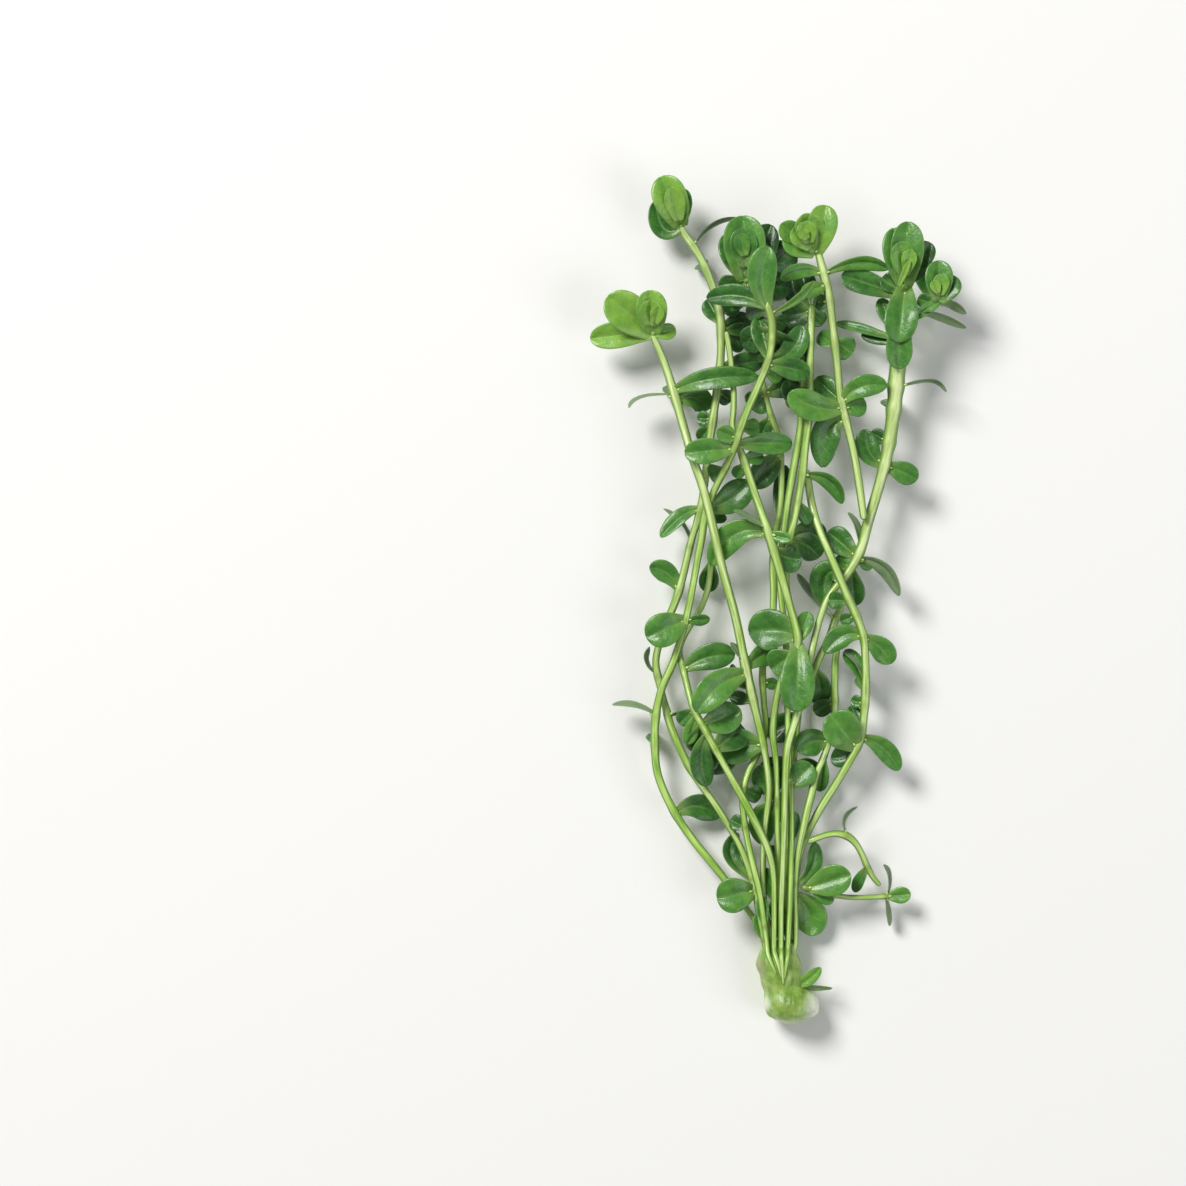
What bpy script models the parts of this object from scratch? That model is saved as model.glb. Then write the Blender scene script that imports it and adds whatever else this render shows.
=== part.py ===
import math

import bmesh
import bpy
from mathutils import Matrix, Vector

# A cut bunch of baby tears lying on its side: long pale stems with fleshy
# paired leaves, grown together at the foot. The foot points to -Y and the leaf
# tips to +Y. Metres, +Z up, and the surface that it lies on is at z = 0.

# Driving dimensions, in metres
bunch_length = 0.180
leaf_thickness = 0.0005
leaf_stagger = 0.00016
joint_gap = 0.0003
ring_spacing = 0.0098
stem_sides_setting = 1
seam_merge = 0.00003

# Stems and leaves are placed on a picture of the bunch seen from above. It is
# picture_height points tall from the foot to the highest leaf, and its middle
# is at (picture_centre_x, picture_centre_y), where y counts downwards. Heights
# above the surface are in millimetres.
picture_height = 847.0
picture_centre_x = 777.5
picture_centre_y = 599.5
picture_scale = bunch_length / picture_height
millimetre = 0.001

# Leaf outline: where each row lies along the leaf, and how wide it is there
leaf_rows = (0.0, 0.3, 0.6, 0.84, 0.985)
small_leaf_rows = (0.0, 0.42, 0.78, 0.985)
edge_on_roll = 45
narrow_leaf = 0.0038
leaf_widest_at = 0.62
leaf_foot_width = 0.26
crown_foot_width = 0.42
leaf_fullness = 1.12
foot_flare = 1.9

stem_green = (0.42, 0.52, 0.17)
leaf_green = (0.060, 0.175, 0.030)
young_green = (0.185, 0.360, 0.050)
foot_green = (0.38, 0.50, 0.24)


def place(x, y, height):
    """A picture point and a height in millimetres, as a point in metres."""
    return Vector((
        (x - picture_centre_x) * picture_scale,
        (picture_centre_y - y) * picture_scale,
        height * millimetre,
    ))


# Stem routes run from the tip down to the foot: x, y, height, thickness
stem_routes = {
    "stem_a": [
        (657, 345, 8.0, 8), (665, 365, 8.3, 9), (675, 397, 9.0, 10), (684, 430, 10.4, 10),
        (692, 458, 12.0, 10), (703, 490, 13.0, 10), (713, 530, 13.0, 10), (722, 570, 12.4, 10),
        (735, 617, 11.3, 10), (746, 670, 10.0, 10), (757, 718, 9.2, 9), (765, 755, 8.8, 8),
        (769, 790, 8.2, 8), (765, 828, 7.6, 7), (763, 865, 7.0, 7), (765, 905, 6.6, 6.5),
        (773, 945, 6.4, 6),
    ],
    "stem_b": [
        (686, 236, 6.5, 8), (699, 255, 7.2, 9), (711, 282, 7.8, 9), (720, 315, 8.0, 9),
        (721, 350, 8.0, 9), (718, 385, 8.0, 9), (712, 425, 8.0, 9), (706, 470, 8.0, 9),
        (701, 508, 7.6, 9), (691, 542, 7.2, 8), (684, 572, 6.8, 9), (676, 600, 6.4, 9),
        (664, 630, 5.7, 8), (656, 660, 5.1, 8), (660, 685, 4.8, 8), (666, 708, 4.9, 8),
        (673, 732, 5.2, 9), (690, 768, 5.6, 9), (720, 812, 5.9, 8), (741, 848, 6.1, 8),
        (753, 884, 6.3, 7), (759, 915, 6.4, 6.5), (765, 945, 6.4, 6),
    ],
    "stem_c": [
        (765, 306, 17.0, 8), (770, 322, 17.0, 8), (770, 345, 17.0, 8), (766, 365, 16.8, 8),
        (755, 392, 16.4, 9), (742, 422, 15.8, 9), (732, 452, 14.2, 8), (722, 474, 12.6, 8),
        (712, 495, 10.9, 8), (705, 515, 10.3, 9), (701, 540, 10.0, 9), (697, 562, 9.6, 8),
        (690, 600, 9.0, 8), (684, 627, 8.6, 8), (673, 663, 8.0, 9), (662, 688, 7.6, 9),
        (656, 715, 7.0, 9), (655, 745, 6.4, 9), (658, 775, 6.0, 9), (672, 808, 5.5, 9),
        (692, 839, 5.2, 9), (718, 871, 5.0, 9), (740, 900, 4.8, 7), (756, 922, 4.8, 6.5),
        (766, 936, 4.8, 6), (770, 945, 4.8, 6),
    ],
    "stem_d": [
        (712, 556, 4.8, 7), (709, 585, 5.0, 7), (703, 604, 5.2, 7), (694, 620, 5.4, 7),
        (684, 637, 5.6, 7), (679, 652, 6.1, 8), (683, 668, 7.9, 8), (688, 690, 10.4, 8),
        (694, 710, 11.9, 8), (706, 732, 12.4, 8), (724, 765, 12.2, 8), (742, 797, 11.5, 9),
        (760, 832, 10.4, 9), (768, 850, 9.8, 8), (773, 873, 9.1, 7), (774, 905, 8.5, 6.5),
        (774, 945, 8.0, 6),
    ],
    "stem_e": [
        (726, 332, 10.4, 6), (730, 358, 10.7, 7), (733, 388, 11.2, 7), (733, 410, 11.7, 7),
        (732, 430, 12.0, 7), (742, 457, 12.0, 8),
        (755, 497, 12.5, 9), (768, 535, 13.0, 10), (780, 575, 13.0, 10), (788, 603, 13.0, 9),
        (797, 638, 12.4, 9), (793, 655, 11.8, 8), (784, 672, 10.8, 8), (778, 690, 9.8, 8),
        (774, 715, 8.4, 8), (773, 738, 8.0, 8), (776, 762, 7.4, 7), (777, 800, 7.0, 7),
        (778, 850, 6.8, 7), (779, 905, 6.5, 6.5), (781, 945, 6.4, 6),
    ],
    "stem_f": [
        (762, 377, 6.6, 5), (765, 392, 6.4, 6), (771, 415, 6.0, 7), (779, 437, 5.5, 7), (782, 470, 5.2, 7),
        (781, 505, 5.2, 7), (776, 535, 5.4, 8), (773, 562, 5.6, 8), (774, 590, 5.8, 8),
        (773, 615, 5.8, 8), (768, 642, 5.8, 8), (763, 668, 5.8, 8), (764, 700, 5.9, 7),
        (766, 728, 6.0, 7), (760, 750, 6.8, 7), (750, 768, 7.8, 7), (744, 785, 8.7, 7),
        (742, 802, 9.1, 7), (747, 838, 9.2, 7), (754, 870, 9.0, 8), (759, 890, 8.7, 7),
        (763, 915, 8.4, 6.5), (767, 945, 8.0, 6),
    ],
    "stem_g": [
        (803, 356, 10.4, 8), (803, 374, 10.8, 8), (802, 400, 10.8, 8), (800, 425, 10.8, 8),
        (797, 447, 10.8, 9), (793, 470, 10.6, 9), (788, 500, 10.0, 8), (784, 532, 8.8, 8),
        (780, 560, 8.0, 7), (780, 585, 7.6, 7), (783, 612, 7.0, 7), (786, 640, 6.4, 7),
        (787, 680, 6.0, 7), (788, 720, 6.4, 7), (789, 760, 7.8, 7), (791, 800, 8.8, 7),
        (791, 860, 8.5, 7), (790, 905, 8.2, 6.5), (788, 945, 8.0, 6),
    ],
    "stem_h": [
        (811, 306, 10.4, 8), (810, 335, 11.8, 8), (809, 370, 12.6, 8), (809, 400, 12.6, 8),
        (807, 425, 12.4, 9), (804, 450, 12.0, 9), (802, 472, 11.6, 9), (799, 492, 11.2, 8),
        (794, 520, 10.9, 8), (790, 536, 10.5, 8), (788, 556, 9.5, 7), (786, 582, 9.3, 7),
        (790, 607, 9.0, 7), (796, 630, 7.2, 7), (800, 655, 5.2, 7), (800, 700, 4.2, 7),
        (795, 755, 4.4, 7), (788, 800, 5.4, 7), (786, 850, 6.0, 7), (786, 905, 6.4, 6.5),
        (789, 945, 6.4, 6),
    ],
    "stem_i": [
        (818, 254, 10.0, 8), (822, 270, 10.2, 9), (828, 295, 10.4, 9), (832, 325, 10.4, 9),
        (836, 360, 10.4, 9), (840, 398, 10.4, 9), (848, 432, 10.6, 9), (854, 458, 10.8, 9),
        (859, 490, 11.2, 9), (863, 520, 11.7, 8),
    ],
    "stem_j": [
        (905, 318, 9.6, 14), (901, 345, 9.4, 18), (897, 371, 9.2, 18), (894, 405, 9.2, 16),
        (890, 435, 9.2, 15), (885, 462, 9.2, 13), (876, 495, 9.0, 12), (867, 525, 9.0, 12),
        (861, 548, 9.0, 11), (849, 571, 9.0, 9), (828, 597, 9.0, 8), (818, 624, 9.4, 8),
        (812, 648, 10.0, 8), (807, 670, 10.8, 8), (802, 695, 11.4, 9), (794, 722, 11.8, 9),
        (787, 745, 11.8, 9), (785, 772, 11.5, 8), (784, 805, 10.9, 8), (783, 845, 9.9, 7),
        (782, 880, 9.1, 7), (781, 910, 8.6, 6.5), (781, 945, 8.0, 6),
    ],
    "stem_k": [
        (807, 470, 6.4, 8), (812, 505, 7.8, 9), (819, 530, 9.6, 9), (828, 552, 11.2, 9),
        (838, 576, 12.2, 9), (847, 598, 12.0, 9), (856, 617, 11.4, 9), (863, 638, 10.8, 9),
        (865, 665, 10.2, 9), (865, 692, 9.8, 9), (863, 722, 9.3, 9), (859, 742, 8.8, 9),
        (850, 760, 8.4, 9), (836, 784, 7.6, 9), (820, 810, 6.8, 9), (808, 834, 6.2, 8),
        (800, 858, 5.6, 7), (796, 890, 5.2, 7), (795, 920, 5.0, 6.5), (792, 945, 4.8, 6),
    ],
    "stem_l": [
        (843, 606, 4.6, 7), (836, 620, 5.2, 8), (828, 641, 6.4, 8), (820, 657, 7.4, 8),
        (813, 674, 8.2, 7), (808, 690, 8.9, 7),
    ],
    "stem_m": [
        (839, 640, 5.4, 7), (836, 660, 5.8, 8), (835, 688, 6.4, 8), (835, 710, 6.8, 8),
        (831, 735, 7.2, 7), (824, 757, 7.6, 7), (816, 775, 8.0, 8), (812, 792, 8.2, 9),
        (807, 811, 8.4, 9), (802, 834, 8.2, 8), (797, 862, 7.6, 7), (795, 890, 7.0, 7),
        (796, 920, 6.6, 6.5), (796, 945, 6.4, 6),
    ],
    "shoot_upper": [
        (881, 886, 5.6, 6), (875, 880, 6.0, 6), (868, 868, 6.4, 7), (861, 852, 7.2, 7),
        (853, 840, 7.8, 8), (842, 834, 8.2, 8), (829, 834, 8.4, 7), (817, 838, 8.4, 7),
        (808, 842, 8.2, 7),
    ],
    "shoot_lower": [
        (893, 897, 4.4, 6), (873, 898, 5.0, 6), (850, 898, 5.6, 6), (824, 894, 6.4, 6),
        (802, 887, 7.0, 6),
    ],
}

# Leaves: stem, foot, tip and width on the picture, then what differs from a
# flat level leaf: the point it bends through, how far it is rolled about its
# own length in degrees, and how far its tip and its middle rise, in millimetres.
leaves = {
    "leaf_a1": ("stem_a", (668, 396), (630, 409), 15, dict(via=(645, 398), roll=74, rise=1.0)),
    "leaf_a2": ("stem_a", (680, 392), (758, 378), 20, dict(via=(708, 380), rise=3.4, arch=1.5)),
    "leaf_a3": ("stem_a", (681, 400), (709, 409), 22, dict(via=(695, 398), rise=-4.0)),
    "leaf_a4": ("stem_a", (743, 664), (729, 643), 10, dict(roll=50, rise=1.0)),
    "leaf_a5": ("stem_a", (743, 674), (696, 712), 28, dict(via=(717, 686), rise=4.6, arch=2.0)),
    "leaf_a6": ("stem_a", (750, 668), (777, 652), 22, dict(via=(762, 655), roll=10, rise=-4.2)),
    "leaf_a7": ("stem_a", (762, 743), (716, 746), 33, dict(rise=-1.4, arch=0.2)),
    "leaf_a8": ("stem_a", (674, 396), (669, 384), 14, dict(rise=-9.0)),
    "leaf_b1": ("stem_b", (697, 243), (741, 218), 13, dict(via=(715, 221), roll=72, rise=2.0)),
    "leaf_b2": ("stem_b", (719, 322), (707, 299), 18, dict(rise=-2.0)),
    "leaf_b3": ("stem_b", (722, 368), (764, 359), 20, dict(rise=-2.0)),
    "leaf_b4": ("stem_b", (710, 424), (699, 440), 14, dict(rise=-1.5)),
    "leaf_b5": ("stem_b", (697, 509), (661, 538), 15, dict(via=(681, 517), roll=25, rise=0.6)),
    "leaf_b6": ("stem_b", (688, 549), (663, 509), 9, dict(via=(683, 526), roll=60, rise=-3.4)),
    "leaf_b7": ("stem_b", (680, 590), (649, 568), 19, dict(via=(667, 573), rise=0.8)),
    "leaf_b8": ("stem_b", (657, 678), (649, 646), 12, dict(via=(645, 662), roll=66, rise=0.5)),
    "leaf_b9": ("stem_b", (669, 712), (692, 708), 9, dict(roll=60, rise=1.2)),
    "leaf_b11": ("stem_b", (753, 889), (717, 898), 31, dict(rise=1.6, arch=1.2)),
    "leaf_b12": ("stem_b", (747, 880), (739, 834), 16, dict(via=(731, 856), roll=20, rise=-2.0)),
    "leaf_b14": ("stem_b", (718, 310), (742, 288), 24, dict(rise=-3.0)),
    "leaf_b16": ("stem_b", (720, 332), (752, 320), 22, dict(rise=-2.5)),
    "leaf_b15": ("stem_b", (706, 270), (701, 262), 14, dict(rise=-7.55)),
    "leaf_b17": ("stem_b", (690, 768), (738, 752), 30, dict(rise=-2.2)),
    "leaf_c1": ("stem_c", (765, 310), (767, 249), 28, dict(via=(760, 280), rise=2.4, arch=0.6)),
    "leaf_c2": ("stem_c", (767, 314), (706, 300), 20, dict(via=(740, 298), rise=-4.2, arch=0.5)),
    "leaf_c3": ("stem_c", (772, 314), (812, 283), 10, dict(via=(796, 300), roll=40, rise=-1.0)),
    "leaf_c4": ("stem_c", (765, 360), (757, 318), 20, dict(rise=-2.6)),
    "leaf_c5": ("stem_c", (768, 362), (800, 326), 22, dict(via=(790, 352), rise=-4.4, arch=-0.8)),
    "leaf_c6": ("stem_c", (768, 368), (808, 376), 20, dict(via=(788, 370), rise=-1.2)),
    "leaf_c7": ("stem_c", (734, 448), (684, 454), 23, dict(rise=0.6, arch=1.0)),
    "leaf_c8": ("stem_c", (738, 446), (792, 444), 20, dict(via=(764, 444), rise=-5.0, arch=-0.6)),
    "leaf_c9": ("stem_c", (737, 442), (715, 432), 16, dict(rise=2.0)),
    "leaf_c10": ("stem_c", (710, 509), (749, 480), 27, dict(via=(731, 499), rise=-1.2, arch=-0.6)),
    "leaf_c11": ("stem_c", (688, 620), (646, 637), 30, dict(rise=2.0, arch=1.2)),
    "leaf_c12": ("stem_c", (689, 618), (710, 618), 12, dict(roll=30, rise=0.5)),
    "leaf_c13": ("stem_c", (653, 716), (612, 706), 12, dict(via=(636, 707), roll=62, rise=-0.5)),
    "leaf_c15": ("stem_c", (676, 812), (720, 819), 23, dict(via=(698, 807), rise=-2.4)),
    "leaf_c16": ("stem_c", (768, 334), (742, 344), 24, dict(rise=-7.0)),
    "leaf_c17": ("stem_c", (655, 745), (652, 735), 12, dict(rise=-6.3)),
    "leaf_d1": ("stem_d", (686, 668), (735, 656), 24, dict(via=(708, 657), rise=0.4, arch=0.6)),
    "leaf_d2": ("stem_d", (696, 717), (687, 744), 14, dict(rise=-2.0)),
    "leaf_d3": ("stem_d", (700, 722), (740, 708), 29, dict(via=(720, 719), rise=-2.0, arch=-0.6)),
    "leaf_d4": ("stem_d", (711, 560), (708, 592), 18, dict(rise=-2.0)),
    "leaf_d5": ("stem_d", (704, 736), (708, 786), 21, dict(via=(701, 758), rise=-4.4)),
    "leaf_e1": ("stem_e", (764, 533), (711, 566), 25, dict(via=(735, 534), rise=-3.8, arch=0.2)),
    "leaf_e2": ("stem_e", (770, 534), (790, 540), 11, dict(rise=1.6)),
    "leaf_e3": ("stem_e", (763, 530), (732, 512), 12, dict(roll=58, rise=2.6)),
    "leaf_e4": ("stem_e", (794, 639), (748, 632), 37, dict(via=(775, 630), lift=-2.0, rise=-1.6)),
    "leaf_e5": ("stem_e", (798, 640), (808, 612), 16, dict(rise=-2.2)),
    "leaf_e6": ("stem_e", (800, 645), (795, 711), 31, dict(lift=1.9, rise=0.4, arch=0.6)),
    "leaf_e10": ("stem_e", (794, 652), (771, 669), 28, dict(rise=-2.6)),
    "leaf_e7": ("stem_e", (776, 798), (758, 766), 24, dict(rise=-1.6, arch=-1.0)),
    "leaf_e8": ("stem_e", (776, 806), (767, 846), 24, dict(via=(763, 818), rise=-2.6)),
    "leaf_e9": ("stem_e", (773, 548), (801, 558), 25, dict(via=(787, 558), lift=-1.9, rise=-0.1)),
    "leaf_f1": ("stem_f", (782, 454), (751, 487), 24, dict(rise=1.6)),
    "leaf_f2": ("stem_f", (778, 522), (786, 464), 16, dict(rise=-2.0, arch=-0.8)),
    "leaf_f3": ("stem_f", (766, 394), (751, 408), 24, dict(rise=-1.0)),
    "leaf_f4": ("stem_f", (772, 416), (759, 440), 15, dict(rise=-1.5)),
    "leaf_f5": ("stem_f", (766, 394), (800, 381), 20, dict(rise=-0.6)),
    "leaf_g1": ("stem_g", (800, 414), (787, 380), 20, dict(rise=-1.8)),
    "leaf_g2": ("stem_g", (789, 786), (812, 764), 24, dict(rise=0.4)),
    "leaf_g3": ("stem_g", (803, 362), (790, 330), 20, dict(rise=-3.6)),
    "leaf_h1": ("stem_h", (793, 534), (820, 543), 26, dict(via=(809, 533), lift=-1.6, rise=-5.4)),
    "leaf_h2": ("stem_h", (807, 342), (776, 336), 24, dict(rise=-4.0)),
    "leaf_h3": ("stem_h", (803, 476), (842, 504), 16, dict(via=(829, 481), roll=35, rise=-1.8)),
    "leaf_h4": ("stem_h", (810, 309), (782, 319), 26, dict(rise=-0.6)),
    "leaf_h5": ("stem_h", (811, 309), (800, 268), 22, dict(rise=-3.4)),
    "leaf_h6": ("stem_h", (812, 309), (823, 324), 15, dict(rise=-1.6)),
    "leaf_h8": ("stem_h", (795, 760), (763, 782), 30, dict(rise=-0.8)),
    "leaf_h9": ("stem_h", (793, 772), (821, 784), 20, dict(via=(807, 769), rise=-0.5)),
    "leaf_h10": ("stem_h", (799, 715), (768, 737), 26, dict(rise=-0.6)),
    "leaf_h11": ("stem_h", (810, 322), (785, 266), 24, dict(rise=-7.4)),
    "leaf_i1": ("stem_i", (821, 274), (779, 282), 14, dict(via=(800, 272), rise=3.0)),
    "leaf_i2": ("stem_i", (823, 286), (799, 296), 14, dict(rise=3.8, arch=0.6)),
    "leaf_i3": ("stem_i", (829, 272), (888, 270), 14, dict(via=(858, 263), roll=30, rise=0.4, arch=0.6)),
    "leaf_i4": ("stem_i", (838, 408), (788, 393), 26, dict(via=(812, 408), rise=5.0, arch=1.2)),
    "leaf_i5": ("stem_i", (842, 406), (886, 387), 20, dict(via=(859, 388), rise=1.6, arch=1.0)),
    "leaf_i6": ("stem_i", (842, 418), (823, 468), 26, dict(via=(827, 430), rise=-1.0, arch=0.5)),
    "leaf_i7": ("stem_i", (834, 350), (819, 334), 16, dict(rise=-2.5)),
    "leaf_i8": ("stem_i", (835, 340), (852, 353), 22, dict(rise=-2.0)),
    "leaf_i9": ("stem_i", (838, 404), (816, 378), 20, dict(rise=-3.0)),
    "leaf_j1": ("stem_j", (893, 300), (841, 276), 22, dict(via=(867, 284), rise=-1.0)),
    "leaf_j2": ("stem_j", (894, 342), (836, 323), 11, dict(via=(864, 330), roll=30, rise=-4.4)),
    "leaf_j3": ("stem_j", (905, 386), (947, 392), 12, dict(via=(930, 379), roll=72, rise=0.6)),
    "leaf_j4": ("stem_j", (880, 466), (865, 429), 21, dict(via=(869, 452), rise=-0.6)),
    "leaf_j5": ("stem_j", (888, 466), (917, 480), 20, dict(via=(902, 472), rise=-0.8)),
    "leaf_j6": ("stem_j", (865, 559), (900, 596), 16, dict(via=(884, 567), roll=42, rise=-1.5)),
    "leaf_j7": ("stem_j", (855, 558), (828, 532), 24, dict(via=(841, 543), rise=-2.4)),
    "leaf_j8": ("stem_j", (845, 574), (824, 603), 28, dict(via=(828, 574), lift=-2.1, rise=-0.6)),
    "leaf_j9": ("stem_j", (852, 570), (856, 606), 20, dict(rise=-3.8, arch=-0.8)),
    "leaf_j10": ("stem_j", (893, 410), (890, 398), 16, dict(rise=-9.1)),
    "leaf_k1": ("stem_k", (863, 638), (824, 653), 20, dict(via=(843, 635), rise=-0.6)),
    "leaf_k2": ("stem_k", (866, 638), (890, 664), 21, dict(via=(880, 648), rise=-1.4)),
    "leaf_k3": ("stem_k", (863, 688), (842, 653), 10, dict(via=(857, 665), roll=60, rise=-1.0)),
    "leaf_k4": ("stem_k", (859, 747), (829, 714), 34, dict(lift=1.7, rise=1.6, arch=0.6)),
    "leaf_k5": ("stem_k", (863, 732), (851, 706), 14, dict(rise=-2.0)),
    "leaf_k6": ("stem_k", (864, 738), (899, 771), 18, dict(via=(883, 748), rise=-2.0)),
    "leaf_k7": ("stem_k", (865, 690), (863, 679), 14, dict(rise=-9.8)),
    "leaf_k8": ("stem_k", (795, 900), (773, 937), 18, dict(rise=-2.4)),
    "leaf_l1": ("stem_l", (815, 668), (821, 707), 20, dict(via=(820, 685), rise=-3.6)),
    "leaf_l2": ("stem_l", (836, 620), (798, 574), 12, dict(via=(812, 596), roll=50, rise=-2.6)),
    "leaf_m1": ("stem_m", (829, 740), (797, 752), 25, dict(via=(812, 742), rise=2.4)),
    "leaf_m2": ("stem_m", (824, 757), (820, 792), 14, dict(rise=-2.0)),
    "leaf_m3": ("stem_m", (796, 882), (815, 843), 16, dict(via=(812, 868), roll=20, rise=-3.0)),
    "leaf_m4": ("stem_k", (797, 896), (811, 938), 30, dict(via=(810, 914), lift=-2.1, rise=0.2)),
    "leaf_n1": ("shoot_upper", (845, 833), (857, 805), 9, dict(via=(843, 817), roll=60, rise=2.0)),
    "leaf_n2": ("shoot_upper", (867, 868), (855, 893), 12, dict(roll=30, rise=-2.0)),
    "leaf_o1": ("shoot_lower", (885, 897), (912, 895), 15, dict(rise=0.5)),
    "leaf_o2": ("shoot_lower", (885, 895), (883, 866), 9, dict(via=(889, 878), roll=60, rise=1.5)),
    "leaf_o3": ("shoot_lower", (886, 900), (892, 928), 9, dict(via=(892, 912), roll=60, rise=-2.0)),
    "leaf_o4": ("shoot_lower", (808, 889), (851, 874), 28, dict(rise=2.0)),
}

# The larger leaves are pieces of their own; the others grow out of their stem
own_leaves = (
    "leaf_a2", "leaf_a5", "leaf_a7", "leaf_b3", "leaf_b7", "leaf_b11", "leaf_d5",
    "leaf_c2", "leaf_c5", "leaf_c6", "leaf_c7", "leaf_c8", "leaf_c10", "leaf_c11",
    "leaf_c15", "leaf_d1", "leaf_d3", "leaf_e1", "leaf_e4", "leaf_e6", "leaf_e9", "leaf_f1",
    "leaf_h1", "leaf_i3", "leaf_i4", "leaf_i5", "leaf_i6", "leaf_j1", "leaf_j4", "leaf_j6",
    "leaf_j8", "leaf_k1", "leaf_k2", "leaf_k4", "leaf_k6", "leaf_m4",
)

# Crowns of young leaves at the tips: middle, height, bud width, then the leaves
# as start (None for the middle of the crown), tip, width and options
crowns = {
    "crown_a": ((653, 334), 8.2, 12, [
        (None, (607, 297), 35, dict(rise=2.5, arch=0.8)),
        (None, (650, 291), 28, dict(rise=3.5, arch=1.0)),
        (None, (590, 340), 24, dict(via=(620, 338), rise=-1.0)),
        (None, (676, 330), 15, dict(rise=-1.2)),
    ]),
    "crown_b": ((681, 226), 6.8, 9, [
        (None, (661, 177), 31, dict(rise=3.0, arch=1.4)),
        (None, (684, 188), 17, dict(rise=0.6)),
        (None, (655, 200), 20, dict(via=(664, 228), rise=-1.6)),
    ]),
    "crown_c": ((746, 282), 11.0, 12, [
        (None, (742, 217), 38, dict(rise=1.5, arch=1.0)),
        (None, (771, 225), 28, dict(rise=-1.5)),
        (None, (727, 233), 28, dict(rise=-2.0)),
        (None, (720, 292), 24, dict(rise=-3.0)),
        (None, (794, 248), 34, dict(rise=-3.5)),
        (None, (790, 289), 28, dict(rise=-2.4)),
    ]),
    "crown_i": ((816, 253), 10.6, 10, [
        (None, (785, 230), 34, dict(rise=1.5)),
        (None, (825, 207), 27, dict(rise=2.0, arch=1.2)),
        (None, (803, 215), 28, dict(rise=2.8)),
    ]),
    "crown_j": ((904, 288), 10.4, 14, [
        (None, (893, 229), 29, dict(rise=1.6, arch=1.2)),
        (None, (907, 223), 30, dict(rise=2.4, arch=1.2)),
        (None, (930, 243), 20, dict(via=(920, 260), rise=-0.6)),
        (None, (896, 344), 30, dict(rise=3.4, arch=1.4)),
        ((904, 324, 13.4), (940, 301), 10, dict(rise=-1.6)),
        ((937, 303, 12.0), (937, 262), 25, dict(rise=0.8, arch=0.6)),
        ((937, 303, 12.0), (953, 277), 23, dict(rise=-0.6, arch=0.4)),
        ((938, 305, 11.7), (966, 314), 11, dict(via=(950, 303), roll=50, rise=-2.4)),
        ((920, 313, 12.6), (966, 328), 12, dict(via=(940, 316), roll=55, rise=-3.0)),
    ]),
}

# The foot, from its neck to its cut end: y, left, right, underside and top
foot_sections = [
    (948, 762, 798, 2.9, 9.9), (956, 759, 799, 1.6, 10.0), (967, 757, 802, 0.2, 9.9),
    (979, 760, 804, -0.6, 9.6), (990, 764, 804, -0.8, 9.4), (997, 765, 815, -0.8, 9.7),
    (1004, 765, 820, -0.8, 10.1), (1012, 766, 820, -0.8, 10.0), (1018, 770, 815, -0.4, 9.2),
    (1023, 780, 800, 1.8, 7.0),
]
foot_sides = 12


def fresh_material(name, colour, roughness):
    """A plain material in the plant's own colour."""
    material = bpy.data.materials.new(name)
    material.use_nodes = True
    shader = material.node_tree.nodes["Principled BSDF"]
    shader.inputs["Base Color"].default_value = (*colour, 1.0)
    shader.inputs["Roughness"].default_value = roughness
    shader.inputs["Metallic"].default_value = 0.0
    material.diffuse_color = (*colour, 1.0)
    return material


def smooth_points(rows, spacing):
    """Points at an even spacing on a smooth curve through the rows."""
    knots = [Vector((*place(x, y, height), width * picture_scale / 2)) for x, y, height, width in rows]
    padded = [2 * knots[0] - knots[1], *knots, 2 * knots[-1] - knots[-2]]
    fine = []
    fine_steps = 12
    for before, start, end, after in zip(padded, padded[1:], padded[2:], padded[3:]):
        for step in range(fine_steps):
            t = step / fine_steps
            fine.append(0.5 * (
                2 * start + (end - before) * t
                + (2 * before - 5 * start + 4 * end - after) * t ** 2
                + (3 * start - before - 3 * end + after) * t ** 3
            ))
    fine.append(knots[-1])
    lengths = [0.0]
    for here, there in zip(fine, fine[1:]):
        lengths.append(lengths[-1] + (there - here).xyz.length)
    count = max(3, round(lengths[-1] / spacing))
    points = []
    index = 0
    for number in range(count + 1):
        target = lengths[-1] * number / count
        while index < len(fine) - 2 and lengths[index + 1] < target:
            index += 1
        share = (target - lengths[index]) / (lengths[index + 1] - lengths[index])
        points.append(fine[index].lerp(fine[index + 1], share))
    return points


def between_rings(points, steps):
    """The stem's own straight runs, cut into short steps."""
    fine = []
    for here, there in zip(points, points[1:]):
        for step in range(steps):
            fine.append(here.lerp(there, step / steps))
    return [*fine, points[-1]]


def tube(name, points, resolution):
    """A closed tube through points that carry their radius as a fourth number."""
    curve = bpy.data.curves.new(name, "CURVE")
    curve.dimensions = "3D"
    curve.bevel_depth = 1.0
    curve.bevel_resolution = resolution
    curve.use_fill_caps = True
    spline = curve.splines.new("POLY")
    spline.points.add(len(points) - 1)
    for knot, point in zip(spline.points, points):
        knot.co = (*point.xyz, 1.0)
        knot.radius = point.w
    carrier = bpy.data.objects.new(name, curve)
    bpy.context.scene.collection.objects.link(carrier)
    mesh = bpy.data.meshes.new_from_object(carrier.evaluated_get(bpy.context.evaluated_depsgraph_get()))
    bpy.data.objects.remove(carrier)
    bm = bmesh.new()
    bm.from_mesh(mesh)
    bmesh.ops.remove_doubles(bm, verts=bm.verts, dist=0.00001)
    bmesh.ops.recalc_face_normals(bm, faces=bm.faces)
    bm.to_mesh(mesh)
    bm.free()
    piece = bpy.data.objects.new(name, mesh)
    bpy.context.scene.collection.objects.link(piece)
    return piece


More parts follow.
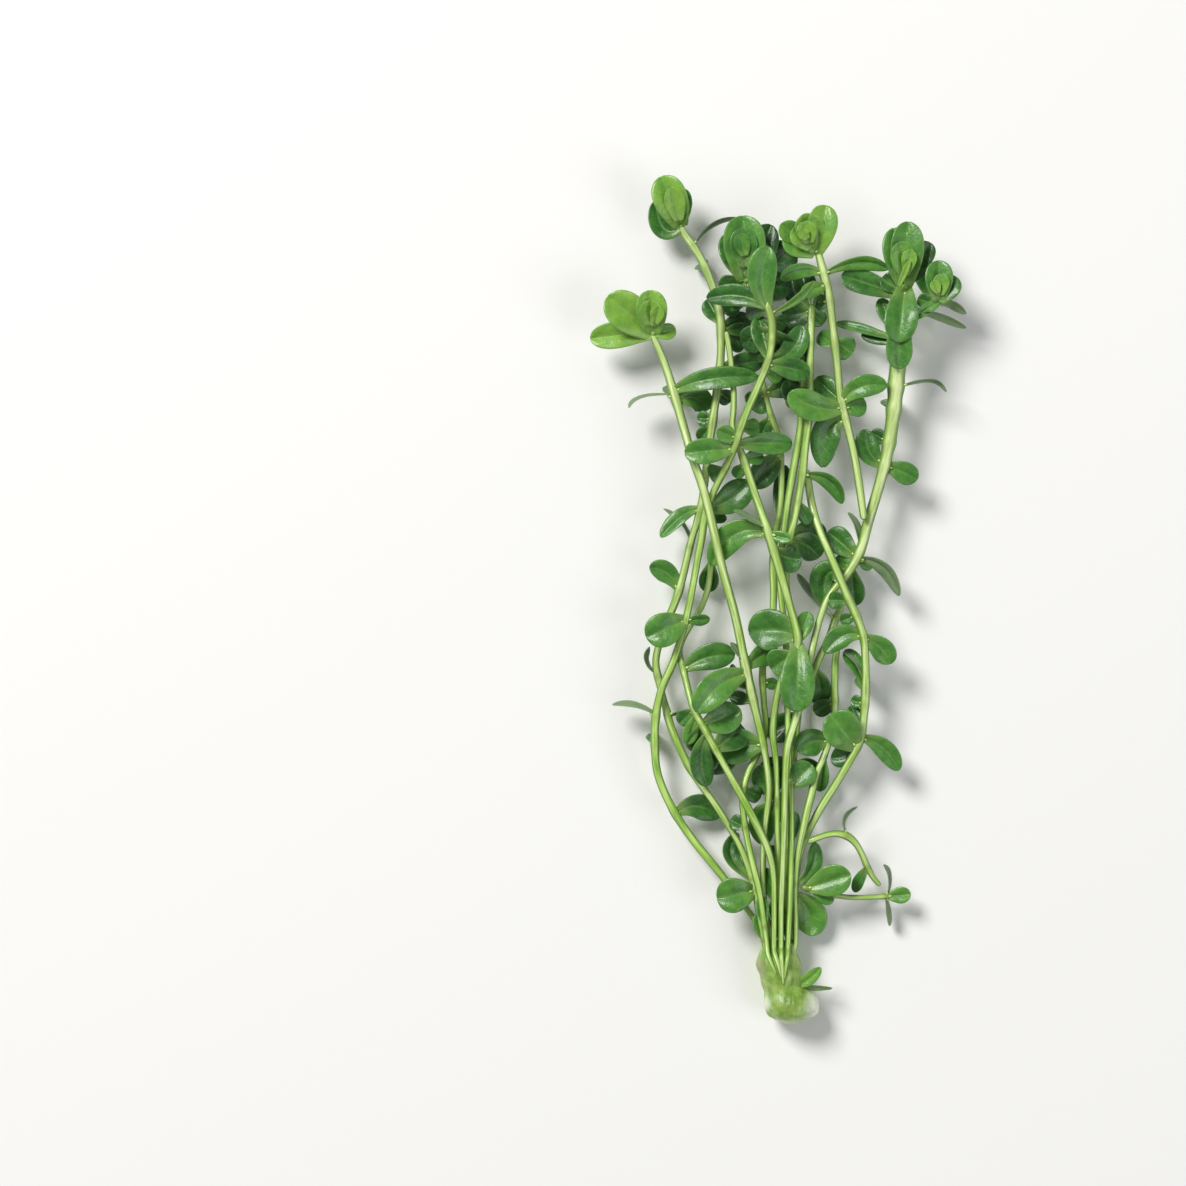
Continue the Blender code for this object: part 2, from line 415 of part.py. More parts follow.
def leaf_half_width(t, foot_width):
    """Half of the leaf's width at t of its length, as a share of its widest."""
    if t < leaf_widest_at:
        return foot_width + (1 - foot_width) * math.sin(math.pi / 2 * t / leaf_widest_at)
    return math.sqrt(1 - ((t - leaf_widest_at) / (1 - leaf_widest_at)) ** 2)


def leaf_sheet(name, foot, middle, tip, width, roll, rows, foot_width):
    """A spoon-shaped leaf: a grid laid along a bent midrib, then thickened."""
    bend = 2 * middle - (foot + tip) / 2
    bm = bmesh.new()
    columns = 1 if roll > edge_on_roll or width < narrow_leaf else 2
    bmesh.ops.create_grid(bm, x_segments=columns, y_segments=len(rows) - 1, size=1.0)
    for vert in bm.verts:
        side = vert.co.x
        t = rows[round((vert.co.y + 1) / 2 * (len(rows) - 1))]
        along = 2 * (1 - t) * (bend - foot) + 2 * t * (tip - bend)
        along.normalize()
        across = along.cross(Vector((0, 0, 1))).normalized()
        across = Matrix.Rotation(math.radians(roll), 3, along) @ across
        upward = across.cross(along)
        spine = (1 - t) ** 2 * foot + 2 * t * (1 - t) * bend + t ** 2 * tip
        reach = leaf_half_width(t, foot_width) * width / 2
        vert.co = spine + across * side * reach + upward * (0.22 * reach * abs(side))
    bmesh.ops.recalc_face_normals(bm, faces=bm.faces)
    mesh = bpy.data.meshes.new(name)
    bm.to_mesh(mesh)
    bm.free()
    sheet = bpy.data.objects.new(name, mesh)
    bpy.context.scene.collection.objects.link(sheet)
    thicken = sheet.modifiers.new("thickness", "SOLIDIFY")
    thicken.thickness = leaf_thickness
    thicken.offset = 0.0
    return sheet


def joined(base, additions):
    """One body of the base and everything that grows out of it."""
    for addition in additions:
        union = base.modifiers.new("union", "BOOLEAN")
        union.operation = "UNION"
        union.object = addition
        bpy.context.view_layer.update()
        evaluated = base.evaluated_get(bpy.context.evaluated_depsgraph_get())
        mesh = bpy.data.meshes.new_from_object(evaluated)
        base.modifiers.clear()
        base.data = mesh
        bpy.data.objects.remove(addition)
    bm = bmesh.new()
    bm.from_mesh(base.data)
    bmesh.ops.remove_doubles(bm, verts=bm.verts, dist=seam_merge)
    bmesh.ops.dissolve_degenerate(bm, edges=bm.edges, dist=seam_merge)
    bm.to_mesh(base.data)
    bm.free()
    return base


def nearest_on(points, target):
    """Where on a stem is closest to a target seen from above, and the stem's direction there."""
    index = min(range(1, len(points) - 1), key=lambda number: (points[number].xy - target.xy).length)
    direction = (points[index + 1] - points[index - 1]).xyz.normalized()
    return points[index], direction


def clearance_from(stem_radius, stem_direction, heading, foot_width):
    """How far along its heading a leaf starts, so that its foot clears the stem."""
    parallel = abs(stem_direction.dot(heading))
    across = max(0.35, math.sqrt(max(0.0, 1 - parallel ** 2)))
    return (stem_radius + joint_gap + foot_flare * foot_width / 2 * parallel) / across


def bent_leaf(
    name, foot, tip_xy, width, stem=None, foot_width=leaf_foot_width,
    via=None, roll=0.0, rise=0.0, arch=0.0, lift=0.0,
):
    """A leaf from a foot point to a picture point, clear of the stem if one is given."""
    height = foot.z / millimetre + lift
    start = foot + Vector((0, 0, lift * millimetre))
    tip = place(*tip_xy, height + rise)
    if via:
        middle = place(*via, height + rise / 2 + arch)
    else:
        middle = (start + tip) / 2 + Vector((0, 0, arch * millimetre))
    leaf_width = width * leaf_fullness * picture_scale
    if stem and not lift:
        heading = (middle - start).normalized()
        start += heading * clearance_from(*stem, heading, foot_width * leaf_width)
    rows = leaf_rows if stem else small_leaf_rows
    return leaf_sheet(name, start, middle, tip, leaf_width, roll, rows, foot_width)


def finish(piece, material, collection):
    """Give a piece its material and place in the plant's collection."""
    piece.data.materials.clear()
    piece.data.materials.append(material)
    for home in list(piece.users_collection):
        home.objects.unlink(piece)
    collection.objects.link(piece)


def make_stems_and_leaves(collection, stem_material, leaf_material):
    """Every stem with its small leaves, and the large leaves beside them."""
    for stem_name, rows in stem_routes.items():
        points = smooth_points(rows, ring_spacing)
        fine_points = between_rings(points, 10)
        grown = []
        for leaf_name, (parent, foot_xy, tip_xy, width, shape) in leaves.items():
            if parent != stem_name:
                continue
            foot, direction = nearest_on(fine_points, place(*foot_xy, 0))
            own = leaf_name in own_leaves
            stem = (foot.w, direction) if own else None
            leaf = bent_leaf(leaf_name, foot.xyz, tip_xy, width, stem, **shape)
            if own:
                finish(leaf, leaf_material, collection)
            else:
                grown.append(leaf)
        stem = joined(tube(stem_name, points, stem_sides_setting), grown)
        finish(stem, stem_material, collection)


def make_crowns(collection, young_material):
    """The rosettes of young leaves around their buds."""
    for name, (middle_xy, height, bud_width, tips) in crowns.items():
        middle = place(*middle_xy, height)
        bm = bmesh.new()
        bmesh.ops.create_uvsphere(bm, u_segments=6, v_segments=4, radius=bud_width * picture_scale / 2)
        bmesh.ops.translate(bm, verts=bm.verts, vec=middle)
        mesh = bpy.data.meshes.new(name)
        bm.to_mesh(mesh)
        bm.free()
        bud = bpy.data.objects.new(name, mesh)
        bpy.context.scene.collection.objects.link(bud)
        leaflets = []
        for number, (start, tip_xy, width, shape) in enumerate(tips):
            foot = place(*(start or (*middle_xy, height)))
            foot.z += leaf_stagger * (number - len(tips) / 2)
            leaflets.append(bent_leaf(
                f"{name}_{number}", foot, tip_xy, width, foot_width=crown_foot_width, **shape,
            ))
        finish(joined(bud, leaflets), young_material, collection)


def make_foot(collection, foot_material):
    """The swollen foot that holds the stems together, flat underneath."""
    bm = bmesh.new()
    bmesh.ops.create_grid(bm, x_segments=foot_sides, y_segments=len(foot_sections) - 1, size=1.0)
    for vert in bm.verts:
        angle = math.pi * vert.co.x
        row = round((vert.co.y + 1) / 2 * (len(foot_sections) - 1))
        y, left, right, underside, top = foot_sections[row]
        vert.co = place(
            (left + right) / 2 + (right - left) / 2 * math.cos(angle), y,
            (top + underside) / 2 + (top - underside) / 2 * math.sin(angle),
        )
    bmesh.ops.remove_doubles(bm, verts=bm.verts, dist=0.00001)
    bmesh.ops.holes_fill(bm, edges=[edge for edge in bm.edges if edge.is_boundary])
    cut = bmesh.ops.bisect_plane(
        bm, geom=bm.verts[:] + bm.edges[:] + bm.faces[:], dist=0.00001,
        plane_co=(0, 0, 0), plane_no=(0, 0, -1), clear_outer=True,
    )
    bmesh.ops.holes_fill(bm, edges=[item for item in cut["geom_cut"] if isinstance(item, bmesh.types.BMEdge)])
    bmesh.ops.recalc_face_normals(bm, faces=bm.faces)
    mesh = bpy.data.meshes.new("foot")
    bm.to_mesh(mesh)
    bm.free()
    foot = bpy.data.objects.new("foot", mesh)
    bpy.context.scene.collection.objects.link(foot)
    twig_start = place(796, 986, 6.0)
    leaflets = [
        bent_leaf("foot_leaf", twig_start, (821, 967), 12, via=(808, 980), rise=2.0),
        bent_leaf("foot_tip", twig_start, (833, 988), 9, roll=50, rise=0.5),
    ]
    finish(joined(foot, leaflets), foot_material, collection)


def main():
    for old in list(bpy.data.objects):
        bpy.data.objects.remove(old)
    collection = bpy.data.collections.new("baby_tears")
    bpy.context.scene.collection.children.link(collection)
    stem_material = fresh_material("stem_flesh", stem_green, 0.45)
    leaf_material = fresh_material("leaf_flesh", leaf_green, 0.40)
    young_material = fresh_material("young_leaf_flesh", young_green, 0.38)
    foot_material = fresh_material("foot_flesh", foot_green, 0.50)
    make_stems_and_leaves(collection, stem_material, leaf_material)
    make_crowns(collection, young_material)
    make_foot(collection, foot_material)


main()
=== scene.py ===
import math
import random

import bmesh
import bpy
from mathutils import Matrix, Vector, noise


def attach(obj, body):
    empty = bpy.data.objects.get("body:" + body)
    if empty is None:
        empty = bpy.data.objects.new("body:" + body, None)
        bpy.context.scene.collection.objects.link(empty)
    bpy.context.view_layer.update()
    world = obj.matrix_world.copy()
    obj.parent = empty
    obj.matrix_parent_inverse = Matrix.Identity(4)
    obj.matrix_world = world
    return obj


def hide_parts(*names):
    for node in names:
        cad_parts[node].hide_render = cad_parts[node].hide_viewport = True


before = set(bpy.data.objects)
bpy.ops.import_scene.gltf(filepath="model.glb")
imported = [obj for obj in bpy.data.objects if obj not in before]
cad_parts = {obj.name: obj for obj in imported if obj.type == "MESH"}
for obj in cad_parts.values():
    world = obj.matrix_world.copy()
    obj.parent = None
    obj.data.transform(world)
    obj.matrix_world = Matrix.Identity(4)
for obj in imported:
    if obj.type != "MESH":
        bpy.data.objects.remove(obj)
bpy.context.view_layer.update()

# A cut bunch of baby tears lying on a pale floor, seen straight from above.
# Stems, leaves, crowns and foot are dressed one by one over their CAD nodes.
print("frame loaded:", len(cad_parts), "nodes")

# Everything is placed on a picture of the bunch, with y counted downwards
picture = {"length": 0.180, "height": 847.0, "centreX": 777.5, "centreY": 599.5}
pointSize = picture["length"] / picture["height"]
millimetre = 0.001


def place(x, y, height):
    # a picture point and a height in millimetres, as a point in metres
    across = (x - picture["centreX"]) * pointSize
    along = (picture["centreY"] - y) * pointSize
    return Vector((across, along, height * millimetre))


# Camera, floor and lights

cameraValues = {
    "lookX": 593, "lookY": 593, "distance": 1.0, "above": 0.008, "frameWidth": 1186, "sensor": 36,
}
floorValues = {"size": 6.0, "colour": (0.93, 0.93, 0.925), "roughness": 0.8, "drop": 0.0003}
lightValues = {
    "key": {"at": (-0.95, 1.05, 1.45), "size": 0.8, "power": 37.5, "colour": (1.0, 0.985, 0.95)},
    "fill": {"at": (1.35, -0.60, 1.20), "size": 1.2, "power": 8.0, "colour": (0.96, 0.98, 1.0)},
}
skyValues = {"colour": (1.0, 1.0, 1.0), "strength": 0.27}


def makeStage():
    data = bpy.data.cameras.new("camera")
    data.sensor_width = cameraValues["sensor"]
    frameWidth = cameraValues["frameWidth"] * pointSize
    data.lens = cameraValues["sensor"] * cameraValues["distance"] / frameWidth
    camera = bpy.data.objects.new("camera", data)
    centre = place(cameraValues["lookX"], cameraValues["lookY"], 0)
    camera.location = (centre.x, centre.y, cameraValues["distance"] + cameraValues["above"])
    bpy.context.scene.collection.objects.link(camera)
    bpy.context.scene.camera = camera

    bm = bmesh.new()
    bmesh.ops.create_grid(bm, x_segments=1, y_segments=1, size=floorValues["size"] / 2)
    bmesh.ops.translate(bm, verts=bm.verts, vec=(0, 0, -floorValues["drop"]))
    mesh = bpy.data.meshes.new("floor")
    bm.to_mesh(mesh)
    bm.free()
    floor = bpy.data.objects.new("floor", mesh)
    bpy.context.scene.collection.objects.link(floor)
    paper = bpy.data.materials.new("palePaper")
    paper.use_nodes = True
    shader = paper.node_tree.nodes["Principled BSDF"]
    shader.inputs["Base Color"].default_value = (*floorValues["colour"], 1)
    shader.inputs["Roughness"].default_value = floorValues["roughness"]
    mesh.materials.append(paper)

    for name, values in lightValues.items():
        light = bpy.data.lights.new(name, "AREA")
        light.shape = "DISK"
        light.size = values["size"]
        light.energy = values["power"]
        light.color = values["colour"]
        lamp = bpy.data.objects.new(name, light)
        lamp.location = values["at"]
        lamp.rotation_euler = (-Vector(values["at"])).to_track_quat("-Z", "Y").to_euler()
        bpy.context.scene.collection.objects.link(lamp)
    world = bpy.data.worlds.new("softSky")
    world.use_nodes = True
    sky = world.node_tree.nodes["Background"]
    sky.inputs["Color"].default_value = (*skyValues["colour"], 1)
    sky.inputs["Strength"].default_value = skyValues["strength"]
    bpy.context.scene.world = world
    bpy.context.scene.view_settings.view_transform = "Standard"


makeStage()
print("stage set")


# Node groups that several materials share


def newGroup(name, inputs, outputs):
    # an input without a value is a vector, and every other socket is a number
    group = bpy.data.node_groups.new(name, "ShaderNodeTree")
    for label, value in inputs.items():
        kind = "NodeSocketVector" if value is None else "NodeSocketFloat"
        socket = group.interface.new_socket(label, in_out="INPUT", socket_type=kind)
        if value is not None:
            socket.default_value = value
    for label in outputs:
        group.interface.new_socket(label, in_out="OUTPUT", socket_type="NodeSocketFloat")
    return group, group.nodes.new("NodeGroupInput"), group.nodes.new("NodeGroupOutput")


def addMath(tree, operation, first, second=None):
    node = tree.nodes.new("ShaderNodeMath")
    node.operation = operation
    for socket, value in zip(node.inputs, (first, second)):
        if isinstance(value, bpy.types.NodeSocket):
            tree.links.new(value, socket)
        elif value is not None:
            socket.default_value = value
    return node.outputs[0]


def addProduct(tree, first, second):
    return addMath(tree, "MULTIPLY", first, second)


def addRange(tree, value, low, high, toLow=0.0, toHigh=1.0):
    node = tree.nodes.new("ShaderNodeMapRange")
    node.interpolation_type = "SMOOTHSTEP"
    tree.links.new(value, node.inputs["Value"])
    labels = ("From Min", "From Max", "To Min", "To Max")
    for label, number in zip(labels, (low, high, toLow, toHigh)):
        node.inputs[label].default_value = number
    return node.outputs["Result"]


def addNoise(tree, vector, scale, detail, roughness):
    node = tree.nodes.new("ShaderNodeTexNoise")
    tree.links.new(vector, node.inputs["Vector"])
    tree.links.new(scale, node.inputs["Scale"])
    node.inputs["Detail"].default_value = detail
    node.inputs["Roughness"].default_value = roughness
    return node.outputs["Fac"]


def addSplit(tree, vector):
    node = tree.nodes.new("ShaderNodeSeparateXYZ")
    tree.links.new(vector, node.inputs[0])
    return node.outputs


mottleValues = {
    "blotchDetail": 3.0, "blotchRoughness": 0.55, "blotchRange": (0.32, 0.68),
    "grainDetail": 2.0, "grainRoughness": 0.6, "grainRange": (0.3, 0.7),
}


def makeMottleGroup():
    # soft blotches and a fine grain, sized in millimetres
    group, entry, leave = newGroup(
        "fleshMottle", {"Vector": None, "Blotch size": 2.0, "Grain size": 0.3}, ("Blotch", "Grain"),
    )
    values = mottleValues
    point = entry.outputs["Vector"]
    blotchScale = addMath(group, "DIVIDE", 1 / millimetre, entry.outputs["Blotch size"])
    grainScale = addMath(group, "DIVIDE", 1 / millimetre, entry.outputs["Grain size"])
    blotch = addNoise(group, point, blotchScale, values["blotchDetail"], values["blotchRoughness"])
    grain = addNoise(group, point, grainScale, values["grainDetail"], values["grainRoughness"])
    group.links.new(addRange(group, blotch, *values["blotchRange"]), leave.inputs["Blotch"])
    group.links.new(grain, leave.inputs["Grain"])
    return group


# the ribFade and footRange run along the leaf, the lineRange up the wave of the side veins, and
# the other ranges across the leaf from its midrib
veinValues = {
    "ribRange": (0.0, 0.16), "ribFade": (0.35, 0.95), "slant": 0.22, "lineRange": (0.55, 1.0),
    "insideRange": (0.25, 0.95), "rimRange": (0.82, 1.0), "footRange": (0.0, 0.32),
}


def makeVeinGroup():
    # masks from a leaf's own map: across the leaf in x, foot to tip in y
    group, entry, leave = newGroup(
        "leafVeins", {"Map": None, "Vein count": 6.0}, ("Midrib", "Veins", "Rim", "Foot"),
    )
    values = veinValues
    split = addSplit(group, entry.outputs["Map"])
    along = split["Y"]
    offCentre = addMath(group, "ABSOLUTE", addMath(group, "SUBTRACT", split["X"], 0.5))
    side = addProduct(group, offCentre, 2.0)
    midrib = addRange(group, side, *values["ribRange"], 1.0, 0.0)
    fading = addRange(group, along, *values["ribFade"], 1.0, 0.0)
    slanted = addMath(group, "SUBTRACT", along, addProduct(group, side, values["slant"]))
    turns = addProduct(group, addProduct(group, slanted, entry.outputs["Vein count"]), 2 * math.pi)
    veins = addRange(group, addMath(group, "SINE", turns), *values["lineRange"])
    inside = addRange(group, side, *values["insideRange"], 1.0, 0.0)
    for label, mask in (
        ("Midrib", addProduct(group, midrib, fading)),
        ("Veins", addProduct(group, veins, inside)),
        ("Rim", addRange(group, side, *values["rimRange"])),
        ("Foot", addRange(group, along, *values["footRange"], 1.0, 0.0)),
    ):
        group.links.new(mask, leave.inputs[label])
    return group


spotValues = {"core": 0.25}


def makeSpotGroup():
    # a ball round a point of the piece, full in its core and fading out to its reach
    group, entry, leave = newGroup(
        "softSpot", {"Vector": None, "Centre": None, "Reach": 0.004}, ("Mask",),
    )
    away = group.nodes.new("ShaderNodeVectorMath")
    away.operation = "DISTANCE"
    group.links.new(entry.outputs["Vector"], away.inputs[0])
    group.links.new(entry.outputs["Centre"], away.inputs[1])
    share = addMath(group, "DIVIDE", away.outputs["Value"], entry.outputs["Reach"])
    mask = addRange(group, share, spotValues["core"], 1.0, 1.0, 0.0)
    group.links.new(mask, leave.inputs["Mask"])
    return group


groups = {"mottle": makeMottleGroup(), "veins": makeVeinGroup(), "spot": makeSpotGroup()}


# Materials


def newMaterial(name, values):
    material = bpy.data.materials.new(name)
    material.use_nodes = True
    shader = material.node_tree.nodes["Principled BSDF"]
    for label, key in (
        ("Specular IOR Level", "shine"), ("Coat Weight", "coat"),
        ("Coat Roughness", "coatRoughness"), ("Subsurface Weight", "glow"),
        ("Subsurface Radius", "glowColour"), ("Subsurface Scale", "glowDepth"),
    ):
        shader.inputs[label].default_value = values[key]
    coords = material.node_tree.nodes.new("ShaderNodeTexCoord")
    return material, material.node_tree, shader, coords.outputs


def addGroup(tree, group, **inputs):
    node = tree.nodes.new("ShaderNodeGroup")
    node.node_tree = group
    for label, value in inputs.items():
        socket = node.inputs[label.replace("_", " ")]
        if isinstance(value, bpy.types.NodeSocket):
            tree.links.new(value, socket)
        else:
            socket.default_value = value
    return node.outputs


def addMix(tree, share, first, second):
    node = tree.nodes.new("ShaderNodeMix")
    node.data_type = "RGBA"
    colours = [socket for socket in node.inputs if socket.type == "RGBA"]
    factor = next(socket for socket in node.inputs if socket.type == "VALUE")
    for socket, value in ((factor, share), (colours[0], first), (colours[1], second)):
        if isinstance(value, bpy.types.NodeSocket):
            tree.links.new(value, socket)
        elif isinstance(value, tuple):
            socket.default_value = (*value, 1)
        else:
            socket.default_value = value
    return next(socket for socket in node.outputs if socket.type == "RGBA")


def addTint(tree, colour, tint, mask, share):
    # lays the tint over the colour where the mask shows
    return addMix(tree, addProduct(tree, mask, share), colour, tint)


def addRamp(tree, factor, colours):
    # the colours at even steps
    node = tree.nodes.new("ShaderNodeValToRGB")
    tree.links.new(factor, node.inputs["Fac"])
    elements = node.color_ramp.elements
    while len(elements) < len(colours):
        elements.new(0.5)
    for number, colour in enumerate(colours):
        elements[number].position = number / (len(colours) - 1)
        elements[number].color = (*colour, 1)
    return node.outputs["Color"]


def addAttribute(tree, name):
    node = tree.nodes.new("ShaderNodeAttribute")
    node.attribute_name = name
    return node.outputs["Fac"]


def addLeafMap(tree):
    node = tree.nodes.new("ShaderNodeUVMap")
    node.uv_map = "leafMap"
    return node.outputs["UV"]


def addHeight(tree, height, mask, share):
    return addMath(tree, "ADD", height, addProduct(tree, mask, share))


def dress(tree, shader, colour, grain, height, values):
    # the colour, a roughness that follows the grain, and the relief
    tree.links.new(colour, shader.inputs["Base Color"])
    rough = addRange(tree, grain, *mottleValues["grainRange"], *values["roughness"])
    tree.links.new(rough, shader.inputs["Roughness"])
    bump = tree.nodes.new("ShaderNodeBump")
    bump.inputs["Strength"].default_value = values["bump"]
    bump.inputs["Distance"].default_value = values["bumpDepth"]
    tree.links.new(height, bump.inputs["Height"])
    tree.links.new(bump.outputs["Normal"], shader.inputs["Normal"])


# In each finish, roughness is its lowest and highest, a size is in millimetres, a share is how
# much of a colour shows at most, and the depths are in metres.
leafFinish = {
    "roughness": (0.30, 0.48), "shine": 0.45, "coat": 0.22, "coatRoughness": 0.10,
    "glow": 0.06, "glowColour": (0.4, 1.0, 0.2), "glowDepth": 0.0008,
    "tones": [  # from the darkest leaf to the youngest
        (0.010, 0.060, 0.009), (0.028, 0.125, 0.015), (0.066, 0.230, 0.030),
        (0.130, 0.340, 0.042), (0.230, 0.450, 0.055),
    ],
    "tints": [  # mask, colour and share
        ("Veins", (0.230, 0.430, 0.110), 0.08), ("Midrib", (0.230, 0.430, 0.110), 0.28),
        ("Rim", (0.260, 0.420, 0.160), 0.28), ("Foot", (0.330, 0.500, 0.130), 0.45),
    ],
    "paleUnder": (0.270, 0.330, 0.215), "underShare": 0.60, "veinCount": 5.0,
    "blotchSize": 2.6, "grainSize": 0.45, "swings": {"Blotch": 0.20, "Grain": 0.10},
    "grainHeight": 0.6, "blotchHeight": 0.6, "ribHeight": -0.5, "veinHeight": -0.15,
    "bump": 0.65, "bumpDepth": 0.00022,
}


def makeLeafMaterial(name, under):
    # the greens run from dark to young by the leaf's tone, which holds painted shade for leaves
    # lying low in the bunch, and the mottle
    values = leafFinish
    material, tree, shader, coords = newMaterial(name, values)
    mottle = addGroup(
        tree, groups["mottle"], Vector=coords["Object"],
        Blotch_size=values["blotchSize"], Grain_size=values["grainSize"],
    )
    veins = addGroup(tree, groups["veins"], Map=addLeafMap(tree), Vein_count=values["veinCount"])
    tone = addAttribute(tree, "leafTone")
    for label, swing in values["swings"].items():
        tone = addHeight(tree, tone, addMath(tree, "SUBTRACT", mottle[label], 0.5), swing)
    colour = addRamp(tree, tone, values["tones"])
    for label, tint, share in values["tints"]:
        colour = addTint(tree, colour, tint, veins[label], share)
    if under:
        colour = addMix(tree, values["underShare"], colour, values["paleUnder"])
    height = addProduct(tree, mottle["Grain"], values["grainHeight"])
    height = addHeight(tree, height, mottle["Blotch"], values["blotchHeight"])
    height = addHeight(tree, height, veins["Midrib"], values["ribHeight"])
    height = addHeight(tree, height, veins["Veins"], values["veinHeight"])
    dress(tree, shader, colour, mottle["Grain"], height, values)
    return material


stemFinish = {
    "roughness": (0.24, 0.42), "shine": 0.50, "coat": 0.25, "coatRoughness": 0.10,
    "glow": 0.12, "glowColour": (0.7, 1.0, 0.3), "glowDepth": 0.0010,
    "lower": (0.290, 0.530, 0.045), "upper": (0.410, 0.570, 0.160), "climbRange": (-0.040, 0.050),
    # the pale streaks on the crest are partly a painted highlight, and the shade down the flanks is
    # painted shade
    "streak": (0.620, 0.880, 0.240), "paleStreakHighlight": (0.830, 0.940, 0.500), "crestHighlightShare": 0.90,
    "leafy": (0.110, 0.320, 0.015), "leafyShare": 0.75,
    "shade": (0.090, 0.225, 0.018), "flankShadeRange": (0.45, 0.95), "flankShadeShare": 0.88,
    "nodeColour": (0.130, 0.200, 0.030), "nodeShare": 0.80,
    "girth": 0.0009, "stretch": 0.07, "streakSize": 0.6, "grainSize": 0.2, "blotchSize": 11.0,
    "grainHeight": 0.5, "bump": 0.5, "bumpDepth": 0.00012,
}


def makeStemMaterial():
    # lengthwise streaks, pale with a painted highlight along the crest, and olive painted shade
    # down the flanks
    values = stemFinish
    material, tree, shader, coords = newMaterial("stemFlesh", values)
    run = addSplit(tree, addLeafMap(tree))
    turn = addProduct(tree, run["X"], 2 * math.pi)
    wrapped = tree.nodes.new("ShaderNodeCombineXYZ")
    for axis, value, share in (
        ("X", addMath(tree, "COSINE", turn), values["girth"]),
        ("Y", addMath(tree, "SINE", turn), values["girth"]),
        ("Z", run["Y"], values["stretch"]),
    ):
        tree.links.new(addProduct(tree, value, share), wrapped.inputs[axis])
    streaks = addGroup(
        tree, groups["mottle"], Vector=wrapped.outputs["Vector"],
        Blotch_size=values["streakSize"], Grain_size=values["grainSize"],
    )
    mottle = addGroup(
        tree, groups["mottle"], Vector=coords["Object"], Blotch_size=values["blotchSize"],
    )
    # painted shade and highlight: where the surface faces sideways the flank is darkened, and where
    # it faces up or down the crest takes the pale streaks
    slope = addMath(tree, "ABSOLUTE", addSplit(tree, coords["Normal"])["Z"])
    flankShade = addRange(tree, slope, *values["flankShadeRange"], 1.0, 0.0)
    climb = addRange(tree, addSplit(tree, coords["Object"])["Y"], *values["climbRange"])
    greenness = addAttribute(tree, "leafTone")
    leafy = addProduct(tree, greenness, mottle["Blotch"])
    crestHighlight = addProduct(tree, streaks["Blotch"], addMath(tree, "SUBTRACT", 1.0, flankShade))
    streak = addMix(tree, greenness, values["paleStreakHighlight"], values["streak"])
    colour = addMix(tree, climb, values["lower"], values["upper"])
    for tint, mask, share in (
        (values["leafy"], leafy, "leafyShare"), (streak, crestHighlight, "crestHighlightShare"),
        (values["shade"], flankShade, "flankShadeShare"),
        (values["nodeColour"], addAttribute(tree, "nodeMark"), "nodeShare"),
    ):
        colour = addTint(tree, colour, tint, mask, values[share])
    height = addHeight(tree, streaks["Blotch"], streaks["Grain"], values["grainHeight"])
    dress(tree, shader, colour, streaks["Grain"], height, values)
    return material


footFinish = {
    "roughness": (0.28, 0.46), "shine": 0.50, "coat": 0.20, "coatRoughness": 0.12,
    "glow": 0.15, "glowColour": (0.7, 1.0, 0.3), "glowDepth": 0.0014,
    "green": (0.190, 0.390, 0.045), "pale": (0.450, 0.620, 0.170),
    "olive": (0.130, 0.240, 0.016), "oliveShare": 0.4,
    "whitish": (0.860, 0.890, 0.760), "pinkish": (0.400, 0.340, 0.210),
    "stretch": (1.0, 0.3, 1.0), "streakSize": 1.6, "blotchSize": 2.2, "grainSize": 0.35,
    "grainHeight": 0.5, "bump": 0.5, "bumpDepth": 0.00025,
    "spots": [  # colour, place, reach and share
        ("whitish", (792, 1023, 5.0), 0.0042, 0.50), ("whitish", (817, 1008, 6.5), 0.0050, 0.90),
        ("whitish", (765, 1004, 6.5), 0.0024, 0.70), ("whitish", (775, 996, 9.6), 0.0014, 0.35),
        ("pinkish", (758, 968, 7.0), 0.0032, 0.60), ("olive", (789, 1003, 10.2), 0.0036, 0.55),
        ("olive", (774, 980, 9.8), 0.0026, 0.35), ("olive", (806, 989, 8.0), 0.0016, 0.60),
    ],
}


def makeFootMaterial():
    # lengthwise olive streaks over mottled green, then the soft spots
    values = footFinish
    material, tree, shader, coords = newMaterial("footFlesh", values)
    point = coords["Object"]
    stretch = tree.nodes.new("ShaderNodeMapping")
    stretch.inputs["Scale"].default_value = values["stretch"]
    tree.links.new(point, stretch.inputs["Vector"])
    streaks = addGroup(
        tree, groups["mottle"], Vector=stretch.outputs["Vector"], Blotch_size=values["streakSize"],
    )
    mottle = addGroup(
        tree, groups["mottle"], Vector=point,
        Blotch_size=values["blotchSize"], Grain_size=values["grainSize"],
    )
    colour = addMix(tree, mottle["Blotch"], values["green"], values["pale"])
    colour = addTint(tree, colour, values["olive"], streaks["Blotch"], values["oliveShare"])
    for colourName, centre, reach, share in values["spots"]:
        spot = addGroup(
            tree, groups["spot"], Vector=point, Centre=tuple(place(*centre)), Reach=reach,
        )
        colour = addTint(tree, colour, values[colourName], spot["Mask"], share)
    height = addHeight(tree, streaks["Blotch"], mottle["Grain"], values["grainHeight"])
    dress(tree, shader, colour, mottle["Grain"], height, values)
    return material


flesh = {
    "leafTop": makeLeafMaterial("leafTop", False),
    "leafUnder": makeLeafMaterial("leafUnder", True),
    "stem": makeStemMaterial(),
    "foot": makeFootMaterial(),
}
print("materials made")


# Shapes

floorGap = 0.00004  # the least height of a point of a piece, in metres
weldReach = 0.00001  # points closer than this become one
underSlot, fleshSlot = 1, 2  # the materials after the leaf's upper side, which is 0


